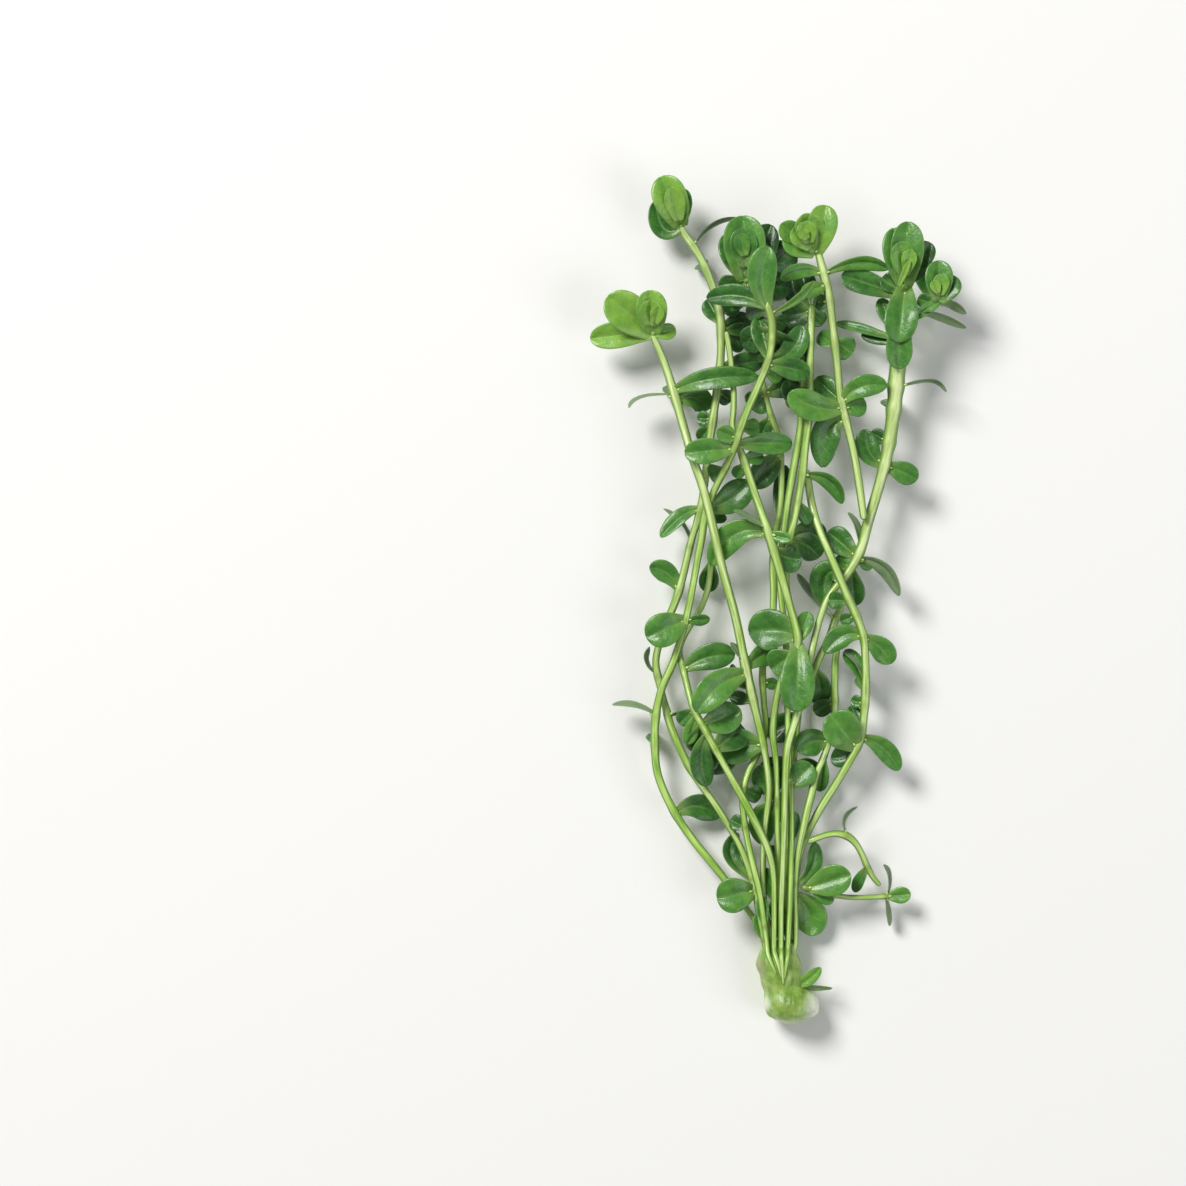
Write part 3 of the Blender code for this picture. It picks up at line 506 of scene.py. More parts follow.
def curvePoint(before, start, end, after, t):
    # a smooth curve's point between start and end
    return 0.5 * (
        2 * start + (end - before) * t
        + (2 * before - 5 * start + 4 * end - after) * t ** 2
        + (3 * start - before - 3 * end + after) * t ** 3
    )


def newBody():
    # every body carries the same layers, so that bodies can be put together
    bm = bmesh.new()
    bm.loops.layers.uv.new("leafMap")
    bm.verts.layers.float.new("leafTone")
    bm.verts.layers.float.new("nodeMark")
    return bm


def addBody(target, bm, slot=None):
    # puts a body into the target, all in one material where a slot is given
    if slot is not None:
        for face in bm.faces:
            face.material_index = slot
    mesh = bpy.data.meshes.new("part")
    bm.to_mesh(mesh)
    bm.free()
    target.from_mesh(mesh)
    bpy.data.meshes.remove(mesh)


def settle(bm, name, materials):
    # the finished piece: smooth, subdivided once, riding on the bunch in its node's place
    for face in bm.faces:
        face.smooth = True
    for vert in bm.verts:
        vert.co.z = max(vert.co.z, floorGap)
    mesh = bpy.data.meshes.new(name + "_skin")
    bm.to_mesh(mesh)
    bm.free()
    piece = bpy.data.objects.new(name + "_skin", mesh)
    bpy.context.scene.collection.objects.link(piece)
    for material in materials:
        mesh.materials.append(material)
    rounding = piece.modifiers.new("rounding", "SUBSURF")
    rounding.levels = 1
    rounding.render_levels = 1
    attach(piece, "root")
    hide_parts(name)


leafShape = {
    "columns": 8, "rows": 13, "gather": 0.5, "end": 0.996, "thickness": 0.00042,
    "widestAt": 0.60, "footWidth": 0.30, "footRun": 1.15, "fullness": 1.16,
    "cup": 0.20, "puff": 0.12, "crease": 0.12, "creaseWidth": 0.2,
    "wave": 0.20, "ripples": (3.0, 0.9, 7.3), "seeds": (0, 9), "paleRoll": 41,
    # the tone at the floor and per millimetre paint shade on leaves lying low in the bunch
    "shadedToneAtFloor": 0.17, "paintedLightPerMillimetre": 0.030, "toneSpread": 0.14,
}


def leafHalfWidth(t, footWidth):
    # half the leaf's width at the share t of its length, 1 where it is widest
    widest = leafShape["widestAt"]
    if t < widest:
        opening = math.sin(math.pi / 2 * t / widest) ** leafShape["footRun"]
        return footWidth + (1 - footWidth) * opening
    return math.sqrt(max(0.0, 1 - ((t - widest) / (1 - widest)) ** 2))


def leafBody(
    foot, middle, tip, width, roll, seed, tone,
    footWidth=leafShape["footWidth"], cup=leafShape["cup"],
):
    # a grid laid along a bent midrib, cupped, puffed between rib and rim, then given its thickness
    bend = 2 * middle - (foot + tip) / 2
    bm = newBody()
    leafMap = bm.loops.layers.uv["leafMap"]
    toneLayer = bm.verts.layers.float["leafTone"]
    columns, rows = leafShape["columns"], leafShape["rows"]
    bmesh.ops.create_grid(bm, x_segments=columns, y_segments=rows, size=1.0)
    for face in bm.faces:
        for loop in face.loops:
            loop[leafMap].uv = ((loop.vert.co.x + 1) / 2, (loop.vert.co.y + 1) / 2)
    for vert in bm.verts:
        side = vert.co.x
        share = (vert.co.y + 1) / 2
        t = leafShape["end"] * share * (1 + leafShape["gather"] - leafShape["gather"] * share)
        along = (2 * (1 - t) * (bend - foot) + 2 * t * (tip - bend)).normalized()
        across = along.cross(Vector((0, 0, 1))).normalized()
        across = Matrix.Rotation(math.radians(roll), 3, along) @ across
        upward = across.cross(along)
        spine = (1 - t) ** 2 * foot + 2 * t * (1 - t) * bend + t ** 2 * tip
        reach = leafHalfWidth(t, footWidth) * width / 2
        waveAt = [number * pace for number, pace in zip((t, side, seed), leafShape["ripples"])]
        lift = cup * side ** 2 + leafShape["puff"] * math.sin(math.pi * abs(side))
        lift -= leafShape["crease"] * math.exp(-(side / leafShape["creaseWidth"]) ** 2)
        lift += leafShape["wave"] * noise.noise(Vector(waveAt)) * abs(side)
        rise = lift * reach + leafShape["thickness"] / 2
        vert.co = spine + across * side * reach + upward * rise
        vert[toneLayer] = tone
    shell = bmesh.ops.solidify(bm, geom=bm.faces[:], thickness=leafShape["thickness"])
    # an edge-on leaf is pale on both sides
    pale = bm.faces if roll > leafShape["paleRoll"] else shell["geom"]
    for item in pale:
        if isinstance(item, bmesh.types.BMFace):
            item.material_index = underSlot
    return bm


def leafSpine(start, tipAt, rise, via=None, arch=0.0, lift=0.0):
    # foot, middle and tip. In millimetres, the tip rises, the middle arches, and the lift raises
    # both over the foot.
    height = start.z / millimetre + lift
    tip = place(*tipAt, height + rise)
    if via:
        middle = place(*via, height + rise / 2 + arch)
    else:
        middle = (start + tip) / 2 + Vector((0, 0, (arch + lift / 2) * millimetre))
    return start, middle, tip


def leafTone(height, chooser):
    # painted shade: the lower a leaf lies in the bunch, the darker it is, and the higher, the
    # lighter, with a random spread
    base = leafShape["shadedToneAtFloor"] + leafShape["paintedLightPerMillimetre"] * height / millimetre
    return base + chooser.uniform(-1, 1) * leafShape["toneSpread"]


budShape = {
    "stretch": (0.8, 0.8, 1.35), "size": 0.00036, "sizeRange": (0.8, 1.3), "tone": 1.0,
    "outward": 1.05, "upward": 0.35,
}


def budBody(at, size, direction, tone):
    # a small pointed bud
    bm = newBody()
    bmesh.ops.create_icosphere(bm, subdivisions=2, radius=size)
    bmesh.ops.scale(bm, verts=bm.verts, vec=budShape["stretch"])
    turn = direction.to_track_quat("Z", "Y").to_matrix()
    bmesh.ops.rotate(bm, verts=bm.verts, cent=(0, 0, 0), matrix=turn)
    bmesh.ops.translate(bm, verts=bm.verts, vec=at)
    toneLayer = bm.verts.layers.float["leafTone"]
    for vert in bm.verts:
        vert[toneLayer] = tone
    return bm


# Stems, with the leaves that grow from them

# x, y, height and width along each stem, from its tip down to the foot. Four start up in their
# crowns and eleven end down the foot's neck, both a little past the CAD's ends.
stemRoutes = {
    "stem_a": [
        (652, 333, 8.2, 7), (654, 338, 8.0, 7.5), (657, 345, 8.0, 8), (665, 365, 8.3, 9),
        (675, 397, 9.0, 10), (684, 430, 10.4, 10), (692, 458, 12.0, 10), (703, 490, 13.0, 10),
        (713, 530, 13.0, 10), (722, 570, 12.4, 10), (735, 617, 11.3, 10), (746, 670, 10.0, 10),
        (757, 718, 9.2, 9), (765, 755, 8.8, 8), (769, 790, 8.2, 8), (765, 828, 7.6, 7),
        (763, 865, 7.0, 7), (765, 905, 6.6, 6.5), (773, 945, 6.4, 6), (774, 952, 6.4, 6),
    ],
    "stem_b": [
        (681, 226, 6.8, 7), (683, 231, 6.6, 8), (686, 236, 6.5, 8), (699, 255, 7.2, 9),
        (711, 282, 7.8, 9), (720, 315, 8.0, 9), (721, 350, 8.0, 9), (718, 385, 8.0, 9),
        (712, 425, 8.0, 9), (706, 470, 8.0, 9), (701, 508, 7.6, 9), (691, 542, 7.2, 8),
        (684, 572, 6.8, 9), (676, 600, 6.4, 9), (664, 630, 5.7, 8), (656, 660, 5.1, 8),
        (660, 685, 4.8, 8), (666, 708, 4.9, 8), (673, 732, 5.2, 9), (690, 768, 5.6, 9),
        (720, 812, 5.9, 8), (741, 848, 6.1, 8), (753, 884, 6.3, 7), (759, 915, 6.4, 6.5),
        (765, 945, 6.4, 6), (767, 952, 6.4, 6),
    ],
    "stem_c": [
        (765, 306, 17.0, 8), (770, 322, 17.0, 8), (770, 345, 17.0, 8), (766, 365, 16.8, 8),
        (755, 392, 16.4, 9), (742, 422, 15.8, 9), (732, 452, 14.2, 8), (722, 474, 12.6, 8),
        (712, 495, 10.9, 8), (705, 515, 10.3, 9), (701, 540, 10.0, 9), (697, 562, 9.6, 8),
        (690, 600, 9.0, 8), (684, 627, 8.6, 8), (673, 663, 8.0, 9), (662, 688, 7.6, 9),
        (656, 715, 7.0, 9), (655, 745, 6.4, 9), (658, 775, 6.0, 9), (672, 808, 5.5, 9),
        (692, 839, 5.2, 9), (718, 871, 5.0, 9), (740, 900, 4.8, 7), (756, 922, 4.8, 6.5),
        (766, 936, 4.8, 6), (770, 945, 4.8, 6), (772, 952, 4.9, 6),
    ],
    "stem_d": [
        (712, 556, 4.8, 7), (709, 585, 5.0, 7), (703, 604, 5.2, 7), (694, 620, 5.4, 7),
        (684, 637, 5.6, 7), (679, 652, 6.1, 8), (683, 668, 7.9, 8), (688, 690, 10.4, 8),
        (694, 710, 11.9, 8), (706, 732, 12.4, 8), (724, 765, 12.2, 8), (742, 797, 11.5, 9),
        (760, 832, 10.4, 9), (768, 850, 9.8, 8), (773, 873, 9.1, 7), (774, 905, 8.5, 6.5),
        (774, 945, 8.0, 6), (774, 951, 8.6, 6.5), (776, 958, 9.5, 6), (779, 967, 9.9, 4.5),
        (781, 977, 9.7, 2.5),
    ],
    "stem_e": [
        (726, 332, 10.4, 6), (730, 358, 10.7, 7), (733, 388, 11.2, 7), (733, 410, 11.7, 7),
        (732, 430, 12.0, 7), (742, 457, 12.0, 8), (755, 497, 12.5, 9), (768, 535, 13.0, 10),
        (780, 575, 13.0, 10), (788, 603, 13.0, 9), (797, 638, 12.4, 9), (793, 655, 11.8, 8),
        (784, 672, 10.8, 8), (778, 690, 9.8, 8), (774, 715, 8.4, 8), (773, 738, 8.0, 8),
        (776, 762, 7.4, 7), (777, 800, 7.0, 7), (778, 850, 6.8, 7), (779, 905, 6.5, 6.5),
        (781, 945, 6.4, 6), (781, 952, 6.4, 6),
    ],
    "stem_f": [
        (762, 377, 6.6, 5), (765, 392, 6.4, 6), (771, 415, 6.0, 7), (779, 437, 5.5, 7),
        (782, 470, 5.2, 7), (781, 505, 5.2, 7), (776, 535, 5.4, 8), (773, 562, 5.6, 8),
        (774, 590, 5.8, 8), (773, 615, 5.8, 8), (768, 642, 5.8, 8), (763, 668, 5.8, 8),
        (764, 700, 5.9, 7), (766, 728, 6.0, 7), (760, 750, 6.8, 7), (750, 768, 7.8, 7),
        (744, 785, 8.7, 7), (742, 802, 9.1, 7), (747, 838, 9.2, 7), (754, 870, 9.0, 8),
        (759, 890, 8.7, 7), (763, 915, 8.4, 6.5), (767, 945, 8.0, 6), (767, 951, 8.4, 6.5),
        (769, 958, 9.1, 6), (773, 966, 9.5, 4.5), (776, 974, 9.4, 2.5),
    ],
    "stem_g": [
        (803, 356, 10.4, 8), (803, 374, 10.8, 8), (802, 400, 10.8, 8), (800, 425, 10.8, 8),
        (797, 447, 10.8, 9), (793, 470, 10.6, 9), (788, 500, 10.0, 8), (784, 532, 8.8, 8),
        (780, 560, 8.0, 7), (780, 585, 7.6, 7), (783, 612, 7.0, 7), (786, 640, 6.4, 7),
        (787, 680, 6.0, 7), (788, 720, 6.4, 7), (789, 760, 7.8, 7), (791, 800, 8.8, 7),
        (791, 860, 8.5, 7), (790, 905, 8.2, 6.5), (788, 945, 8.0, 6), (788, 951, 8.6, 6.5),
        (787, 958, 9.5, 6), (785, 968, 9.9, 4.5), (784, 979, 9.7, 2.5),
    ],
    "stem_h": [
        (811, 306, 10.4, 8), (810, 335, 11.8, 8), (809, 370, 12.6, 8), (809, 400, 12.6, 8),
        (807, 425, 12.4, 9), (804, 450, 12.0, 9), (802, 472, 11.6, 9), (799, 492, 11.2, 8),
        (794, 520, 10.9, 8), (790, 536, 10.5, 8), (788, 556, 9.5, 7), (786, 582, 9.3, 7),
        (790, 607, 9.0, 7), (796, 630, 7.2, 7), (800, 655, 5.2, 7), (800, 700, 4.2, 7),
        (795, 755, 4.4, 7), (788, 800, 5.4, 7), (786, 850, 6.0, 7), (786, 905, 6.4, 6.5),
        (789, 945, 6.4, 6), (788, 952, 6.4, 6),
    ],
    "stem_i": [
        (815, 248, 10.4, 6), (816, 251, 10.2, 7), (818, 254, 10.0, 8), (822, 270, 10.2, 9),
        (828, 295, 10.4, 9), (832, 325, 10.4, 9), (836, 360, 10.4, 9), (840, 398, 10.4, 9),
        (848, 432, 10.6, 9), (854, 458, 10.8, 9), (859, 490, 11.2, 9), (863, 520, 11.7, 8),
    ],
    "stem_j": [
        (904, 292, 10.4, 9), (905, 304, 10.1, 11), (905, 318, 9.6, 14), (901, 345, 9.4, 18),
        (897, 371, 9.2, 18), (894, 405, 9.2, 16), (890, 435, 9.2, 15), (885, 462, 9.2, 13),
        (876, 495, 9.0, 12), (867, 525, 9.0, 12), (861, 548, 9.0, 11), (849, 571, 9.0, 9),
        (828, 597, 9.0, 8), (818, 624, 9.4, 8), (812, 648, 10.0, 8), (807, 670, 10.8, 8),
        (802, 695, 11.4, 9), (794, 722, 11.8, 9), (787, 745, 11.8, 9), (785, 772, 11.5, 8),
        (784, 805, 10.9, 8), (783, 845, 9.9, 7), (782, 880, 9.1, 7), (781, 910, 8.6, 6.5),
        (781, 945, 8.0, 6), (781, 951, 8.8, 6.5), (781, 958, 9.8, 6), (782, 970, 10.1, 4.5),
        (783, 984, 9.6, 2.5),
    ],
    "stem_k": [
        (807, 470, 6.4, 8), (812, 505, 7.8, 9), (819, 530, 9.6, 9), (828, 552, 11.2, 9),
        (838, 576, 12.2, 9), (847, 598, 12.0, 9), (856, 617, 11.4, 9), (863, 638, 10.8, 9),
        (865, 665, 10.2, 9), (865, 692, 9.8, 9), (863, 722, 9.3, 9), (859, 742, 8.8, 9),
        (850, 760, 8.4, 9), (836, 784, 7.6, 9), (820, 810, 6.8, 9), (808, 834, 6.2, 8),
        (800, 858, 5.6, 7), (796, 890, 5.2, 7), (795, 920, 5.0, 6.5), (792, 945, 4.8, 6),
        (790, 952, 4.9, 6),
    ],
    "stem_l": [
        (843, 606, 4.6, 7), (836, 620, 5.2, 8), (828, 641, 6.4, 8), (820, 657, 7.4, 8),
        (813, 674, 8.2, 7), (808, 690, 8.9, 7),
    ],
    "stem_m": [
        (839, 640, 5.4, 7), (836, 660, 5.8, 8), (835, 688, 6.4, 8), (835, 710, 6.8, 8),
        (831, 735, 7.2, 7), (824, 757, 7.6, 7), (816, 775, 8.0, 8), (812, 792, 8.2, 9),
        (807, 811, 8.4, 9), (802, 834, 8.2, 8), (797, 862, 7.6, 7), (795, 890, 7.0, 7),
        (796, 920, 6.6, 6.5), (796, 945, 6.4, 6), (794, 952, 6.4, 6),
    ],
    "shoot_upper": [
        (881, 886, 5.6, 6), (875, 880, 6.0, 6), (868, 868, 6.4, 7), (861, 852, 7.2, 7),
        (853, 840, 7.8, 8), (842, 834, 8.2, 8), (829, 834, 8.4, 7), (817, 838, 8.4, 7),
        (808, 842, 8.2, 7),
    ],
    "shoot_lower": [
        (893, 897, 4.4, 6), (873, 898, 5.0, 6), (850, 898, 5.6, 6), (824, 894, 6.4, 6),
        (802, 887, 7.0, 6),
    ],
}

# by stem: foot, tip, width and rise in millimetres, then what else bends or tints the leaf
# a low tone is painted shade, on a leaf lying deep under the others
leafRows = {
    "stem_a": {
        "a1": ((668, 396), (630, 409), 15, 1.0, dict(via=(645, 398), roll=74)),
        "a2": ((680, 392), (758, 378), 20, 3.4, dict(via=(708, 380), arch=1.5, tone=0.42)),
        "a3": ((681, 400), (709, 409), 22, -4.0, dict(via=(695, 398))),
        "a4": ((743, 664), (729, 643), 10, 1.0, dict(roll=50)),
        "a5": ((743, 674), (696, 712), 28, 4.6, dict(via=(717, 686), arch=2.0, tone=0.58)),
        "a6": ((750, 668), (777, 652), 22, -4.2, dict(via=(762, 655), roll=10)),
        "a7": ((762, 743), (716, 746), 33, -1.4, dict(arch=0.2, tone=0.38)),
        "a8": ((674, 396), (669, 384), 14, -9.0),
    },
    "stem_b": {
        "b1": ((697, 243), (741, 218), 13, 2.0, dict(via=(715, 221), roll=72)),
        "b2": ((719, 322), (707, 299), 18, -2.0, dict(tone=0.28)),
        "b3": ((722, 368), (764, 359), 20, -2.0, dict(tone=0.20)),
        "b4": ((710, 424), (699, 440), 14, -1.5),
        "b5": ((697, 509), (661, 538), 15, 0.6, dict(via=(681, 517), roll=25)),
        "b6": ((688, 549), (663, 509), 9, -3.4, dict(via=(683, 526), roll=60)),
        "b7": ((680, 590), (649, 568), 19, 0.8, dict(via=(667, 573))),
        "b8": ((657, 678), (649, 646), 12, 0.5, dict(via=(645, 662), roll=66)),
        "b9": ((669, 712), (692, 708), 9, 1.2, dict(roll=60)),
        "b11": ((753, 889), (717, 898), 31, 1.6, dict(arch=1.2, tone=0.58)),
        "b12": ((747, 880), (739, 834), 16, -2.0, dict(via=(731, 856), roll=20)),
        "b14": ((718, 310), (742, 288), 24, -3.0, dict(tone=0.34)),
        "b16": ((720, 332), (752, 320), 22, -2.5, dict(tone=0.12)),
        "b15": ((706, 270), (701, 262), 14, -7.55),
        "b17": ((690, 768), (738, 752), 30, -2.2, dict(tone=0.12)),
    },
    "stem_c": {
        "c1": ((765, 310), (767, 250), 26, 2.4, dict(via=(760, 280), arch=0.6, tone=0.50)),
        "c2": ((767, 314), (706, 300), 20, -4.2, dict(via=(740, 298), arch=0.5, tone=0.30)),
        "c3": ((772, 314), (812, 283), 10, -1.0, dict(via=(796, 300), roll=40)),
        "c4": ((765, 360), (757, 318), 20, -2.6, dict(tone=0.30)),
        "c5": ((768, 362), (800, 326), 22, -4.4, dict(via=(790, 352), arch=-0.8, tone=0.4)),
        "c6": ((768, 368), (808, 376), 20, -1.2, dict(via=(788, 370), tone=0.32)),
        "c7": ((734, 448), (684, 454), 23, 0.6, dict(arch=1.0)),
        "c8": ((738, 446), (792, 444), 20, -5.0, dict(via=(764, 444), arch=-0.6)),
        "c9": ((737, 442), (715, 432), 16, 2.0),
        "c10": ((710, 509), (749, 480), 27, -1.2, dict(via=(731, 499), arch=-0.6)),
        "c11": ((688, 620), (646, 637), 30, 2.0, dict(arch=1.2, tone=0.55)),
        "c12": ((689, 618), (710, 618), 12, 0.5, dict(roll=30)),
        "c13": ((653, 716), (612, 706), 12, -0.5, dict(via=(636, 707), roll=62)),
        "c15": ((676, 812), (720, 819), 23, -2.4, dict(via=(698, 807))),
        "c16": ((768, 334), (742, 344), 24, -7.0, dict(tone=0.12)),
        "c17": ((655, 745), (652, 735), 12, -6.3),
    },
    "stem_d": {
        "d1": ((686, 668), (735, 656), 24, 0.4, dict(via=(708, 657), arch=0.6, tone=0.45)),
        "d2": ((696, 717), (687, 744), 14, -2.0),
        "d3": ((700, 722), (740, 708), 29, -2.0, dict(via=(720, 719), arch=-0.6)),
        "d4": ((711, 560), (708, 592), 18, -2.0),
        "d5": ((704, 736), (708, 786), 21, -4.4, dict(via=(701, 758), tone=0.30)),
    },
    "stem_e": {
        "e1": ((764, 533), (711, 566), 25, -3.8, dict(via=(735, 534), arch=0.2)),
        "e2": ((770, 534), (790, 540), 11, 1.6),
        "e3": ((763, 530), (732, 512), 12, 2.6, dict(roll=58)),
        "e4": ((794, 639), (748, 632), 37, -1.6, dict(via=(775, 630), lift=-2.0, tone=0.4)),
        "e5": ((798, 640), (808, 612), 16, -2.2),
        "e6": ((800, 645), (795, 711), 31, 0.4, dict(lift=1.9, arch=0.6, tone=0.50)),
        "e10": ((794, 652), (771, 669), 28, -2.6),
        "e7": ((776, 798), (758, 766), 24, -1.6, dict(arch=-1.0)),
        "e8": ((776, 806), (767, 846), 24, -2.6, dict(via=(763, 818), tone=0.50)),
        "e9": ((773, 548), (801, 558), 25, -0.1, dict(via=(787, 558), lift=-1.9, tone=0.26)),
    },
    "stem_f": {
        "f1": ((782, 454), (751, 487), 24, 1.6, dict(tone=0.22)),
        "f2": ((778, 522), (786, 464), 16, -2.0, dict(arch=-0.8, tone=0.14)),
        "f3": ((766, 394), (751, 408), 24, -1.0, dict(tone=0.34)),
        "f4": ((772, 416), (759, 440), 15, -1.5),
        "f5": ((766, 394), (800, 381), 20, -0.6, dict(tone=0.12)),
    },
    "stem_g": {
        "g1": ((800, 414), (787, 380), 20, -1.8, dict(tone=0.25)),
        "g2": ((789, 786), (812, 764), 24, 0.4),
        "g3": ((803, 362), (790, 330), 20, -3.6, dict(tone=0.12)),
    },
    "stem_h": {
        "h1": ((793, 534), (820, 543), 26, -5.4, dict(via=(809, 533), lift=-1.6, tone=0.30)),
        "h2": ((807, 342), (776, 336), 24, -4.0, dict(tone=0.16)),
        "h3": ((803, 476), (842, 504), 16, -1.8, dict(via=(829, 481), roll=35)),
        "h4": ((810, 309), (782, 319), 26, -0.6, dict(tone=0.14)),
        "h5": ((811, 309), (800, 268), 22, -3.4, dict(tone=0.14)),
        "h6": ((812, 309), (823, 324), 15, -1.6),
        "h8": ((795, 760), (763, 782), 30, -0.8, dict(tone=0.12)),
        "h9": ((793, 772), (821, 784), 20, -0.5, dict(via=(807, 769), tone=0.12)),
        "h10": ((799, 715), (768, 737), 26, -0.6, dict(tone=0.12)),
        "h11": ((810, 322), (785, 266), 24, -7.4, dict(tone=0.12)),
    },
    "stem_i": {
        "i1": ((821, 274), (779, 282), 14, 3.0, dict(via=(800, 272))),
        "i2": ((823, 286), (799, 296), 14, 3.8, dict(arch=0.6)),
        "i3": ((829, 272), (888, 270), 14, 0.4, dict(via=(858, 263), roll=30, arch=0.6)),
        "i4": ((838, 408), (788, 393), 26, 5.0, dict(via=(812, 408), arch=1.2)),
        "i5": ((842, 406), (886, 387), 20, 1.6, dict(via=(859, 388), arch=1.0)),
        "i6": ((842, 418), (823, 468), 26, -1.0, dict(via=(827, 430), arch=0.5, tone=0.42)),
        "i7": ((834, 350), (819, 334), 16, -2.5),
        "i8": ((835, 340), (852, 353), 22, -2.0),
        "i9": ((838, 404), (816, 378), 20, -3.0),
    },
    "stem_j": {
        "j1": ((893, 300), (841, 276), 22, -1.0, dict(via=(867, 284))),
        "j2": ((894, 342), (836, 323), 11, -4.4, dict(via=(864, 330), roll=30)),
        "j3": ((905, 386), (947, 392), 12, 0.6, dict(via=(930, 379), roll=72)),
        "j4": ((880, 466), (865, 429), 21, -0.6, dict(via=(869, 452))),
        "j5": ((888, 466), (917, 480), 20, -0.8, dict(via=(902, 472), tone=0.50)),
        "j6": ((865, 559), (900, 596), 16, -1.5, dict(via=(884, 567), roll=42)),
        "j7": ((855, 558), (828, 532), 24, -2.4, dict(via=(841, 543), tone=0.34)),
        "j8": ((845, 574), (824, 603), 28, -0.6, dict(via=(828, 574), lift=-2.1, tone=0.34)),
        "j9": ((852, 570), (856, 606), 20, -3.8, dict(arch=-0.8)),
        "j10": ((893, 410), (890, 398), 16, -9.1),
    },
    "stem_k": {
        "k1": ((863, 638), (824, 653), 20, -0.6, dict(via=(843, 635))),
        "k2": ((866, 638), (890, 664), 21, -1.4, dict(via=(880, 648), tone=0.52)),
        "k3": ((863, 688), (842, 653), 10, -1.0, dict(via=(857, 665), roll=60)),
        "k4": ((859, 747), (829, 714), 34, 1.6, dict(lift=1.7, arch=0.6, tone=0.60)),
        "k5": ((863, 732), (851, 706), 14, -2.0),
        "k6": ((864, 738), (899, 771), 18, -2.0, dict(via=(883, 748), tone=0.50)),
        "k7": ((865, 690), (863, 679), 14, -9.8),
        "k8": ((795, 900), (773, 937), 18, -2.4, dict(tone=0.12)),
        "m4": ((797, 896), (811, 938), 30, 0.2, dict(via=(810, 914), lift=-2.1, tone=0.64)),
    },
    "stem_l": {
        "l1": ((815, 668), (821, 707), 20, -3.6, dict(via=(820, 685))),
        "l2": ((836, 620), (798, 574), 12, -2.6, dict(via=(812, 596), roll=50)),
    },
    "stem_m": {
        "m1": ((829, 740), (797, 752), 25, 2.4, dict(via=(812, 742))),
        "m2": ((824, 757), (820, 792), 14, -2.0),
        "m3": ((796, 882), (815, 843), 16, -3.0, dict(via=(812, 868), roll=20)),
    },
    "shoot_upper": {
        "n1": ((845, 833), (857, 805), 9, 2.0, dict(via=(843, 817), roll=60)),
        "n2": ((867, 868), (855, 893), 12, -2.0, dict(roll=30)),
    },
    "shoot_lower": {
        "o1": ((885, 897), (912, 895), 15, 0.5, dict(tone=0.66)),
        "o2": ((885, 895), (883, 866), 9, 1.5, dict(via=(889, 878), roll=60)),
        "o3": ((886, 900), (892, 928), 9, -2.0, dict(via=(892, 912), roll=60)),
        "o4": ((808, 889), (851, 874), 28, 2.0, dict(tone=0.62)),
    },
}

